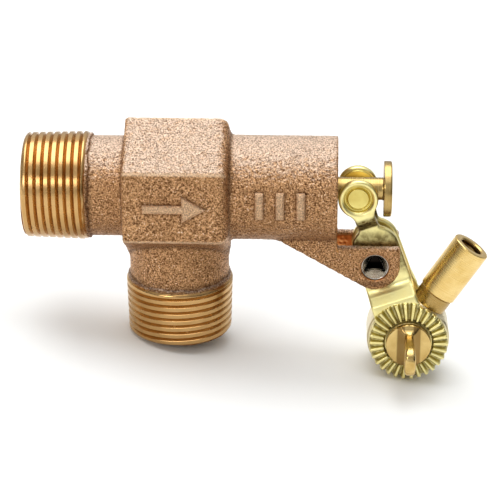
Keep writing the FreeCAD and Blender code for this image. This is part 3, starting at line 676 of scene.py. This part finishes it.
def cheek_shade_share(p):
    """Share of painted brown shade: 0.7 in the gaps between the coined teeth, 0.85 on the hub's outer face,
    and all of it in the neck's bend."""
    dx, dz = p[:, 0] - KNUCKLE[0], p[:, 2] - KNUCKLE[2]
    r = np.hypot(dx, dz)
    gap = np.clip(0.35 - 0.95 * np.cos(TOOTH_COUNT * np.arctan2(dz, dx)), 0, 1)
    gap = 0.7 * gap * (r > TEETH_INNER_R) * (r < SERRATED_R + 0.5) * (p[:, 1] > KNUCKLE_INNER_Y + 1)
    up = (EYE - CROWN) / np.linalg.norm(EYE - CROWN)
    along_neck = (p[:, 0] - CROWN[0]) * up[0] + (p[:, 2] - CROWN[2]) * up[2]
    hub_shade = 0.85 * (1 - smooth_step(p[:, 2], -11.5, -8.6)) * smooth_step(p[:, 2], -22.0, -18.0)
    hub_shade = hub_shade * (p[:, 1] > HUB_INNER_Y + SHEET - 0.3)
    in_bend = smooth_step(along_neck, 5.4, 6.2) * smooth_step(-along_neck, -9.6, -8.6)
    return np.minimum(gap + hub_shade + in_bend, 1)


def stamped_brass():
    """Yellow brass sheet, bright dipped after stamping: pale greenish yellow and glossy, with the sheet's
    faint orange-peel unevenness and a few dull clouds, and patchy painted brown shade between the teeth, on
    the hub and in the neck's bend."""
    material, tree, surface = new_material("bright_dipped_brass_sheet", 0.3)
    place = add_node(tree, "TexCoord").outputs["Object"]
    clouds = add_node(tree, "TexNoise", {"Vector": place, "Scale": per_mm(3.2), "Detail": 3.0})
    peel = add_node(tree, "TexNoise", {"Vector": place, "Scale": per_mm(0.8), "Detail": 2.0})
    clean = add_node(tree, "Mix", {"Factor": clouds.outputs["Fac"], 6: linear("#E8D684"),
                                   7: linear("#FCF4B6")}, data_type="RGBA")
    # Painted shade: the valley share mixes in dark brown, broken up in patches.
    valley = add_node(tree, "Attribute", attribute_name="valley").outputs["Fac"]
    patchy = add_node(tree, "MapRange", {"Value": peel.outputs["Fac"], "From Min": 0.35, "From Max": 0.65,
                                         "To Min": 1.0, "To Max": 0.62})
    brown_shade = add_node(tree, "Math", {0: valley, 1: patchy.outputs["Result"]}, operation="MULTIPLY")
    tint = add_node(tree, "Mix", {"Factor": brown_shade.outputs["Value"], 6: clean.outputs[2], 7: linear("#54401A")},
                    data_type="RGBA")
    tree.links.new(tint.outputs[2], surface.inputs["Base Color"])
    rough = add_node(tree, "MapRange", {"Value": clouds.outputs["Fac"], "From Min": 0.3, "From Max": 0.7,
                                        "To Min": 0.42, "To Max": 0.3})
    tree.links.new(rough.outputs["Result"], surface.inputs["Roughness"])
    bump = add_node(tree, "Bump", {"Height": peel.outputs["Fac"], "Strength": 0.35, "Distance": 0.06 * MM})
    tree.links.new(bump.outputs["Normal"], surface.inputs["Normal"])
    return material


sheet_brass = stamped_brass()
cheek_points, cheek_faces = net_surface(cheek_field, (75.8, 0.8, -49.2), (105.4, 8.4, 4.9),
                                         CHEEK_MESH_STEP)
# Painted brown shade between the teeth, on the hub and in the neck's bend.
cheek_shade = {"valley": cheek_shade_share(cheek_points)}
add_piece("rear_cheek_sheet", cheek_points, cheek_faces, sheet_brass, "lever",
          ["rear_cheek"], None, cheek_shade)
add_piece("front_cheek_sheet", cheek_points * (1, -1, 1), cheek_faces, sheet_brass, "lever",
          ["front_cheek"], None, cheek_shade)

# ---- Piston and other turned pieces ----
# The piston is turned from brass bar: a nose, a stem and a land with two ring grooves that runs in the
# barrel, then a thin neck and an end disc. The lever's eye studs push and pull between land and disc.
ARC_STEPS = 5
TURN_SHARP_DEG = 40
FEED_MARK = 0.22
PISTON_FRONT_X = 29.8
PISTON_NOSE_R = 7.6
PISTON_STEM_R = 4.0
PISTON_R = 8.4
LAND_X = (51.5, 76.31)
GROOVE_CENTRES = (55.5, 60.5)
GROOVE_HALF = 1.0
GROOVE_R = 7.0
PISTON_NECK_R = 2.8
END_DISC_X = (87.81, 89.81)
END_DISC_R = 6.85


def rounded_profile(corners, closed):
    """Corners (along, radius, rounding) become a line with arcs. Each straight run gets a point close to
    either end, so that smooth shading keeps flat faces flat."""
    corners = np.array(corners, float)
    rows = []
    count = len(corners)
    for i in range(count):
        here, rounding = corners[i, :2], corners[i, 2]
        before, after = corners[i - 1, :2], corners[(i + 1) % count, :2]
        if not closed and i in (0, count - 1):
            rows.append(here[None])
            continue
        back, ahead = before - here, after - here
        back_len, ahead_len = np.linalg.norm(back), np.linalg.norm(ahead)
        back, ahead = back / back_len, ahead / ahead_len
        half = math.acos(float(np.clip(back @ ahead, -1, 1))) / 2
        reach = min(rounding / math.tan(half), 0.45 * back_len, 0.45 * ahead_len)
        swing = np.linspace(0, 1, ARC_STEPS + 1)[:, None]
        arc = here + back * reach * (1 - swing) ** 2 + ahead * reach * swing ** 2
        ease = min(0.05, 0.05 * back_len), min(0.05, 0.05 * ahead_len)
        rows.append(np.vstack((arc[0] + back * ease[0], arc, arc[-1] + ahead * ease[1])))
    return np.vstack(rows)


def turned_surface(corners, steps=112, closed=False, thread=None):
    """Profile carried round +X: point (row, step) = (along, radius cos angle, radius sin angle). A thread,
    given as (low, high, pitch, depth), adds to the radius between two places a V that follows a helix."""
    rows = rounded_profile(corners, closed)
    if thread:
        fine = []
        for a, b in zip(rows[:-1], rows[1:]):
            parts = max(1, int(abs(b[0] - a[0]) / (thread[2] / 8)))
            fine.append(a + (b - a) * np.arange(parts)[:, None] / parts)
        rows = np.vstack(fine + [rows[-1:]])
    angle = 2 * math.pi * np.arange(steps) / steps
    x = np.repeat(rows[:, :1], steps, 1)
    r = np.repeat(rows[:, 1:], steps, 1)
    if thread:
        low, high, pitch, depth = thread
        wave = np.abs(2 * ((x / pitch - angle / (2 * math.pi)) % 1) - 1)
        fade = np.clip((x - low) / pitch, 0, 1) * np.clip((high - x) / pitch + 1, 0, 1) * (x <= high + pitch)
        near = np.abs(r - thread_base(rows, low, high)) < 0.05
        r = r + depth * wave * fade * near
    points = np.stack((x, r * np.cos(angle), r * np.sin(angle)), -1).reshape(-1, 3)
    bands = len(rows) if closed else len(rows) - 1
    i, j = np.meshgrid(np.arange(bands), np.arange(steps), indexing="ij")
    next_i, next_j = (i + 1) % len(rows), (j + 1) % steps
    faces = np.stack((i * steps + j, next_i * steps + j, next_i * steps + next_j, i * steps + next_j), -1)
    return points, faces.reshape(-1, 4)


def thread_base(rows, low, high):
    """Radius of the longest straight run between two places."""
    inside = rows[(rows[:, 0] > low) & (rows[:, 0] < high)]
    values, counts = np.unique(np.round(inside[:, 1], 3), return_counts=True)
    return values[np.argmax(counts)]


def turned_metal(name, dark, light, rough, marks=0.35, hollow="#7A5A2C"):
    """Bar turned in a lathe: satin, with the tool's fine rings across the axis and cloudy stains. The rings
    read the piece's own distance along its axis, and its own share of dullness mixes in a darker colour:
    painted shade in the pin's hollow, in the sleeve's tapped bore and on the slopes beside the screw's blade,
    and a darker foot on the sleeve. It serves the brass pieces, and the plated steel pin in other colours."""
    material, tree, surface = new_material(name, rough)
    place = add_node(tree, "TexCoord").outputs["Object"]
    along = add_node(tree, "Attribute", attribute_name="along")
    rings = add_node(tree, "TexNoise", {"W": along.outputs["Fac"], "Scale": 1 / FEED_MARK, "Detail": 3.0,
                                        "Roughness": 0.7}, noise_dimensions="1D")
    stains = add_node(tree, "TexNoise", {"Vector": place, "Scale": per_mm(4.0), "Detail": 3.0})
    both = add_node(tree, "Math", {0: rings.outputs["Fac"], 1: stains.outputs["Fac"]}, operation="ADD")
    share = add_node(tree, "MapRange", {"Value": both.outputs["Value"], "From Min": 0.7, "From Max": 1.3})
    tint = add_node(tree, "Mix", {"Factor": share.outputs["Result"], 6: linear(dark), 7: linear(light)},
                    data_type="RGBA")
    # The dull share mixes in the hollow colour: painted shade in bores and beside the blade, and a darker
    # socket foot.
    dull = add_node(tree, "Attribute", attribute_name="dull").outputs["Fac"]
    worked = add_node(tree, "Mix", {"Factor": dull, 6: tint.outputs[2], 7: linear(hollow)}, data_type="RGBA")
    tree.links.new(worked.outputs[2], surface.inputs["Base Color"])
    spread = add_node(tree, "MapRange", {"Value": rings.outputs["Fac"], "From Min": 0.3, "From Max": 0.7,
                                         "To Min": rough * 0.8, "To Max": rough * 1.25})
    tree.links.new(spread.outputs["Result"], surface.inputs["Roughness"])
    bump = add_node(tree, "Bump", {"Height": rings.outputs["Fac"], "Strength": marks, "Distance": 0.03 * MM})
    tree.links.new(bump.outputs["Normal"], surface.inputs["Normal"])
    return material


def add_turned(name, corners, origin, axis, material, body, slot, stands_for, **extra):
    """Turned piece about an axis through its origin; keeps the distance along the axis for lathe marks."""
    points, faces = turned_surface(corners, **extra)
    add_piece(name, along_axis(points, origin, axis), faces, material, body, stands_for, TURN_SHARP_DEG,
              {"along": points[:, 0]})


piston_brass = turned_metal("turned_piston_brass", "#9A7C44", "#CDB072", 0.26, 0.12)
piston_corners = [(PISTON_FRONT_X, 0, 0), (PISTON_FRONT_X, 6.6, 0.2), (PISTON_FRONT_X, PISTON_NOSE_R, 0.3),
                  (32.8, PISTON_NOSE_R, 0.4), (32.8, PISTON_STEM_R, 0.3),
                  (LAND_X[0], PISTON_STEM_R, 0.3), (LAND_X[0], PISTON_R, 0.4)]
for centre in GROOVE_CENTRES:
    piston_corners += [(centre - GROOVE_HALF, PISTON_R, 0.1), (centre - GROOVE_HALF, GROOVE_R, 0.1),
                       (centre + GROOVE_HALF, GROOVE_R, 0.1), (centre + GROOVE_HALF, PISTON_R, 0.1)]
piston_corners += [(LAND_X[1], PISTON_R, 0.5), (LAND_X[1], PISTON_NECK_R, 0.35),
                   (END_DISC_X[0], PISTON_NECK_R, 0.35), (END_DISC_X[0], END_DISC_R, 0.3),
                   (END_DISC_X[1], END_DISC_R, 0.45), (END_DISC_X[1], 0, 0)]
add_turned("piston_turning", piston_corners, (0, 0, 0), (1, 0, 0), piston_brass, "piston_group",
           "machined_brass", ["piston"])

# ---- Eye studs ----
# Brass rivets set in the eyes of the cheeks: the head bears on the piston's neck side, and the outer end is
# upset below the eye's outer face.
stud_brass = turned_metal("upset_stud_brass", "#BFA44C", "#EBDC88", 0.3, 0.3)
stud_corners = [(3.4, 0, 0), (3.4, 4.2, 0.25), (3.85, 4.2, 0.1), (3.85, STUD_R, 0.1), (4.75, STUD_R, 0.15),
                (4.75, 3.05, 0.15), (4.5, 2.85, 0.1), (5.02, 2.55, 0.25), (5.08, 0, 0)]
for side, label in ((1, "rear"), (-1, "front")):
    add_turned(label + "_stud_turning", stud_corners, EYE, (0, side, 0), stud_brass, "lever",
               "machined_brass", [label + "_eye_stud"])

# ---- Pivot pin ----
# A hollow steel rivet through both ears: a thin bright tube whose ends are spread in their recesses by a
# three-cornered punch.
PUNCH_R = 1.3
PUNCH_CORNER_R = 2.5
PIN_HOLLOW_R = 2.0
pin_steel = turned_metal("zinc_plated_steel", "#B5ADA0", "#E6DFD3", 0.22, 0.4, "#14100D")
half_pin = [(1.5, 0, 0), (1.5, PIN_HOLLOW_R, 0.1), (3.2, PIN_HOLLOW_R, 0.1), (3.5, PIN_HOLLOW_R, 0.2),
            (5.9, 3.15, 0.15), (6.0, 3.3, 0.08), (5.75, 3.42, 0.1), (5.5, PIN_R, 0.1)]
half_pin += [(-along, radius, rounding) for along, radius, rounding in reversed(half_pin)]
pin_points, pin_faces = turned_surface(half_pin)
pin_angle = np.arctan2(pin_points[:, 2], pin_points[:, 1])
pin_r = np.maximum(np.hypot(pin_points[:, 1], pin_points[:, 2]), 1e-6)
# The punch's outline: radius = flat's distance / cos(angle from the flat's middle), held at the corners. The
# hollow takes this outline, and it fades out towards the rim.
three_cornered = PUNCH_R / np.cos((pin_angle - math.pi / 2) % (2 * math.pi / 3) - math.pi / 3)
three_cornered = np.minimum(three_cornered, PUNCH_CORNER_R)
in_hollow = (pin_r > 0.5) * np.clip((3.0 - pin_r) / 0.95, 0, 1) * (pin_r < 2.88)
punched = (three_cornered - PIN_HOLLOW_R) * in_hollow
pin_points[:, 1:] *= (1 + punched / pin_r)[:, None]
# Painted shade: the floor of the punched hollow is mixed to near black.
pin_hollow_shade = np.clip((3.5 - np.abs(pin_points[:, 0])) / 0.3, 0, 1) * (pin_r < 2.7)
add_piece("pivot_pin_rivet", along_axis(pin_points, PIVOT, (0, 1, 0)), pin_faces, pin_steel, "valve_body",
          ["pivot_pin"], TURN_SHARP_DEG, {"along": pin_points[:, 0], "dull": pin_hollow_shade})

# ---- Rod holder ----
# A round brass boss turns between the cheeks, clamped by the thumb screw. A tapped sleeve is brazed into its
# flat, and the float's rod screws into the sleeve.
BOSS_R = 10.3
BOSS_HALF = 4.7
SOCKET_DIR = np.array((0.5446, 0, 0.8387))
SOCKET_FOOT = 9.1
SOCKET_FOOT_R = 4.4
SOCKET_R = 4.75
SOCKET_REACH = 28.0
SPIGOT_R = 2.95
TAPPED_R = 2.85
TAPPED_PITCH = 1.27
TAPPED_DEPTH = 0.3
BRAZE_R = 4.42
BOSS_MESH_STEP = 0.3


def boss_field(p):
    """Cylinder cut by the socket's flat, with turned edges, and a fillet of braze round the socket's foot."""
    x, y, z = p[..., 0] - KNUCKLE[0], p[..., 1], p[..., 2] - KNUCKLE[2]
    along = x * SOCKET_DIR[0] + z * SOCKET_DIR[2]
    across = x * SOCKET_DIR[2] - z * SOCKET_DIR[0]
    drum = soft_max(np.hypot(x, z) - BOSS_R, np.abs(y) - BOSS_HALF, 0.7)
    drum = soft_max(drum, along - SOCKET_FOOT, 0.5)
    sleeve = np.hypot(across, y) - BRAZE_R
    braze = np.maximum(np.maximum(sleeve, slab(along, SOCKET_FOOT - 1, SOCKET_FOOT + 0.25)), drum - 1.2)
    solid = soft_min(drum, braze, 0.9)
    return soft_max(solid, SCREW_HOLE_R - np.hypot(x, z), 0.4)


boss_brass = turned_metal("pale_boss_brass", "#C9B98C", "#E9DDBB", 0.3, 0.2)
boss_points, boss_faces = net_surface(boss_field, (83.6, -5.4, -49.6), (106.0, 5.5, -27.2), BOSS_MESH_STEP)
add_piece("socket_boss", boss_points, boss_faces, boss_brass, "rod_holder",
          ["socket_knuckle"], TURN_SHARP_DEG, {"along": boss_points[:, 1]})

socket_brass = turned_metal("turned_socket_brass", "#D8B263", "#F3D795", 0.28, 0.03)
socket_corners = [(SOCKET_FOOT - 4.5, 0, 0), (SOCKET_FOOT - 4.5, SPIGOT_R, 0.3), (SOCKET_FOOT, SPIGOT_R, 0.1),
                  (SOCKET_FOOT, SOCKET_FOOT_R, 0.1), (13.0, SOCKET_FOOT_R, 0.1), (13.2, 4.2, 0.1),
                  (13.45, SOCKET_R, 0.12), (SOCKET_REACH, SOCKET_R, 0.35), (SOCKET_REACH, 3.3, 0.08),
                  (SOCKET_REACH - 0.35, TAPPED_R, 0.1), (SOCKET_REACH - 14, TAPPED_R, 0.1),
                  (SOCKET_REACH - 15.2, 0, 0)]
socket_thread = (SOCKET_REACH - 13, SOCKET_REACH - 1.4, TAPPED_PITCH, TAPPED_DEPTH)
socket_points, socket_faces = turned_surface(socket_corners, thread=socket_thread)
socket_point_r = np.hypot(socket_points[:, 1], socket_points[:, 2])
# Painted shade: the tapped bore is mixed 0.7 towards the darker colour; the foot below the step is also made
# darker, by 0.6.
tapped = 0.7 * (socket_point_r < 3.2) * (socket_points[:, 0] < SOCKET_REACH - 0.3)
brazed = 0.6 * (socket_points[:, 0] < 13.3)
add_piece("socket_sleeve", along_axis(socket_points, KNUCKLE, tuple(SOCKET_DIR)), socket_faces, socket_brass,
          "rod_holder", ["rod_socket"], TURN_SHARP_DEG,
          {"along": socket_points[:, 0], "dull": np.maximum(tapped, brazed)})

# ---- Clamp screw, washers and nut ----
# The thumb screw clamps both cheeks on the boss: a turned brass shank and head with a milled blade, a blanked
# brass washer at either side, and a flanged nut at the rear.
KNUCKLE_OUTER_Y = 7.0
THUMB_HEAD_R = 5.65
SCREW_R = 3.1
SCREW_PITCH = 1.0
SCREW_THREAD_DEPTH = 0.35
SCREW_THREAD_START_Y = 6.5
HEAD_Y = -7.75
BLADE_REACH = 11.6
BLADE_HALF_HEIGHT = 3.6
WASHER_THICKNESS = 0.6
NUT_START_Y = 7.6
NUT_END_Y = 13.2
NUT_HALF_FLATS = 5.55
NUT_CHAMFER_R = 5.6
NUT_SHARP_DEG = 35
SCREW_MESH_STEP = 0.2


def screw_field(p):
    """Head disc and shank, with a milled blade that spreads into the head by fillets; a V thread follows a
    helix on the shank's end."""
    x, y, z = p[..., 0] - KNUCKLE[0], p[..., 1], p[..., 2] - KNUCKLE[2]
    r = np.hypot(x, z)
    face = HEAD_Y - 1.0
    wave = np.abs(2 * ((y / SCREW_PITCH - np.arctan2(z, x) / (2 * math.pi)) % 1) - 1)
    threaded = SCREW_THREAD_DEPTH * wave * (y > SCREW_THREAD_START_Y)
    shank = soft_max(r - SCREW_R + threaded, y - NUT_END_Y - 1.5, 0.8)
    head = soft_max(r - THUMB_HEAD_R, slab(y, face, HEAD_Y), 0.35)
    out = face - y
    root = 2.2 * np.exp(-np.clip(out, 0, 20) / 0.7)
    tongue = soft_max(np.abs(z) - BLADE_HALF_HEIGHT - root, out - BLADE_REACH, 3.4)
    flare = 1.45 * np.clip(1.3 - out, 0, 1.3)
    waist = 1.0 + 0.45 * np.clip(out / BLADE_REACH, 0, 1) + flare
    blade = soft_max(np.maximum(tongue, y + 8.2), np.abs(x) - waist, 0.95)
    top = soft_min(head, np.maximum(blade, r - THUMB_HEAD_R + 0.1), 0.15)
    return soft_min(np.maximum(top, y - HEAD_Y - 0.02), np.maximum(shank, HEAD_Y - 0.5 - y), 0.2)


def blade_slope_shade(p):
    """Painted shade: 0.75 on the two milled slopes beside the blade, and 0 on the turned face."""
    aside = np.abs(p[:, 0] - KNUCKLE[0])
    beside = smooth_step(aside, 0.95, 1.25) * smooth_step(-aside, -3.0, -2.8)
    return 0.75 * beside * (np.abs(p[:, 1] - HEAD_Y + 1.2) < 1.3)


screw_brass = turned_metal("milled_screw_brass", "#B8944F", "#E6CA88", 0.24, 0.1)
screw_points, screw_faces = net_surface(screw_field, (88.8, -20.9, -44.4), (100.8, 15.2, -32.4),
                                         SCREW_MESH_STEP)
add_piece("thumb_screw_milling", screw_points, screw_faces, screw_brass, "clamp_screw",
          ["thumb_screw"], TURN_SHARP_DEG,
          {"along": screw_points[:, 1], "dull": blade_slope_shade(screw_points)})

washer_corners = [(0, SCREW_R + 0.05, 0.1), (WASHER_THICKNESS, SCREW_R + 0.05, 0.1),
                  (WASHER_THICKNESS, THUMB_HEAD_R, 0.15), (0, THUMB_HEAD_R, 0.1)]
washer_brass = turned_metal("blanked_washer_brass", "#A58B55", "#D6BF86", 0.34)
for label, start, way in (("front", -KNUCKLE_OUTER_Y, -1), ("rear", KNUCKLE_OUTER_Y, 1)):
    add_turned(label + "_washer_blank", washer_corners, KNUCKLE + (0, start, 0), (0, way, 0), washer_brass,
               "lever", "machined_brass", [label + "_clamp_washer"], closed=True)


def nut_field(p):
    """Hexagon whose corners are chamfered by a cone, on a round flange, with the threaded hole."""
    x, y, z = p[..., 0] - KNUCKLE[0], p[..., 1], p[..., 2] - KNUCKLE[2]
    r = np.hypot(x, z)
    slant = np.maximum(np.abs(COS_30 * x + 0.5 * z), np.abs(COS_30 * x - 0.5 * z))
    flats = np.maximum(np.abs(z), slant) - NUT_HALF_FLATS
    cone = r * 0.5 + (y - NUT_END_Y) * COS_30 - NUT_CHAMFER_R * 0.5
    hexagon = soft_max(soft_max(flats, slab(y, NUT_START_Y, NUT_END_Y), 0.3), cone, 0.25)
    flange = soft_max(r - THUMB_HEAD_R, slab(y, NUT_START_Y, NUT_START_Y + 1.0), 0.35)
    hole = r - SCREW_R - 0.08 - 0.5 * np.clip((y - NUT_END_Y) + 0.6, 0, 1)
    return soft_max(soft_min(hexagon, flange, 0.4), -hole, 0.15)


nut_brass = turned_metal("milled_nut_brass", "#B9944F", "#E4C987", 0.28)
nut_points, nut_faces = net_surface(nut_field, (87.6, 7.2, -45.4), (102.2, 13.7, -31.2),
                                     SCREW_MESH_STEP)
add_piece("clamp_nut_milling", nut_points, nut_faces, nut_brass, "lever", ["clamp_nut"],
          NUT_SHARP_DEG, {"along": nut_points[:, 1]})

# ---- Studio ----
# The valve rests on its outlet's rim and on the knuckle, so the table falls away by 9 degrees towards the
# lever. It is matt white, and wide enough that its edge is far off.
TABLE_TILT_DEG = 9.12
TABLE_HINGE_X = 24.9
TABLE_HINGE_Z = -37.72
TABLE_HALF_WIDTH_M = 12.0
table_slope = math.tan(math.radians(TABLE_TILT_DEG))
table_corners = [(x * TABLE_HALF_WIDTH_M, y * TABLE_HALF_WIDTH_M)
                 for x, y in ((-1, -1), (1, -1), (1, 1), (-1, 1))]
floor_mesh = bpy.data.meshes.new("studio_floor")
floor_mesh.from_pydata([(x, y, TABLE_HINGE_Z * MM - (x - TABLE_HINGE_X * MM) * table_slope)
                        for x, y in table_corners], [], [(0, 1, 2, 3)])
floor = bpy.data.objects.new("studio_floor", floor_mesh)
scene.collection.objects.link(floor)
floor_paint, _, _ = new_material("matt_white_table", 0.7, 0.0, "#F9F8F4")
floor.data.materials.append(floor_paint)

# The room is brighter with height and behind the valve, and dark in front but for a patch behind the camera.
studio = bpy.data.worlds.new("studio")
scene.world = studio
studio.use_nodes = True
room = studio.node_tree
way = add_node(room, "SeparateXYZ", {"Vector": add_node(room, "TexCoord").outputs["Generated"]})
height = add_node(room, "MapRange", {"Value": way.outputs["Z"], "From Min": 0.05, "From Max": 0.9,
                                     "To Min": 0.03, "To Max": 0.6})
behind = add_node(room, "MapRange", {"Value": way.outputs["Y"], "From Min": 0.0, "From Max": 0.9,
                                     "To Min": 0.0, "To Max": 0.5})
front = add_node(room, "MapRange", {"Value": way.outputs["Y"], "From Min": -0.75, "From Max": -0.95,
                                    "To Min": 0.0, "To Max": 0.4})
ends = add_node(room, "Math", {0: behind.outputs["Result"], 1: front.outputs["Result"]}, operation="ADD")
total = add_node(room, "Math", {0: height.outputs["Result"], 1: ends.outputs["Value"]}, operation="ADD")
room.links.new(total.outputs["Value"], room.nodes["Background"].inputs["Strength"])
room.nodes["Background"].inputs["Color"].default_value = (1, 1, 1, 1)


def softbox(name, place, width, depth, power, colour=(1, 1, 1)):
    """A rectangular lamp at a place in metres, turned to face the valve; its power is in watts."""
    data = bpy.data.lights.new(name, "AREA")
    data.shape = "RECTANGLE"
    data.size = width
    data.size_y = depth
    data.energy = power
    data.color = colour
    light = bpy.data.objects.new(name, data)
    light.location = place
    light.rotation_euler = (view_target - Vector(place)).to_track_quat("-Z", "Y").to_euler()
    scene.collection.objects.link(light)


softbox("overhead", (0.03, 0.12, 0.72), 0.75, 0.75, 5.6, (0.96, 1.0, 1.06))
softbox("front_left", (-0.36, -0.83, 0.46), 0.4, 0.22, 2.0)
softbox("front_high", (0.1, -0.45, 0.75), 0.35, 0.35, 0.35)
scene.view_settings.view_transform = "Standard"
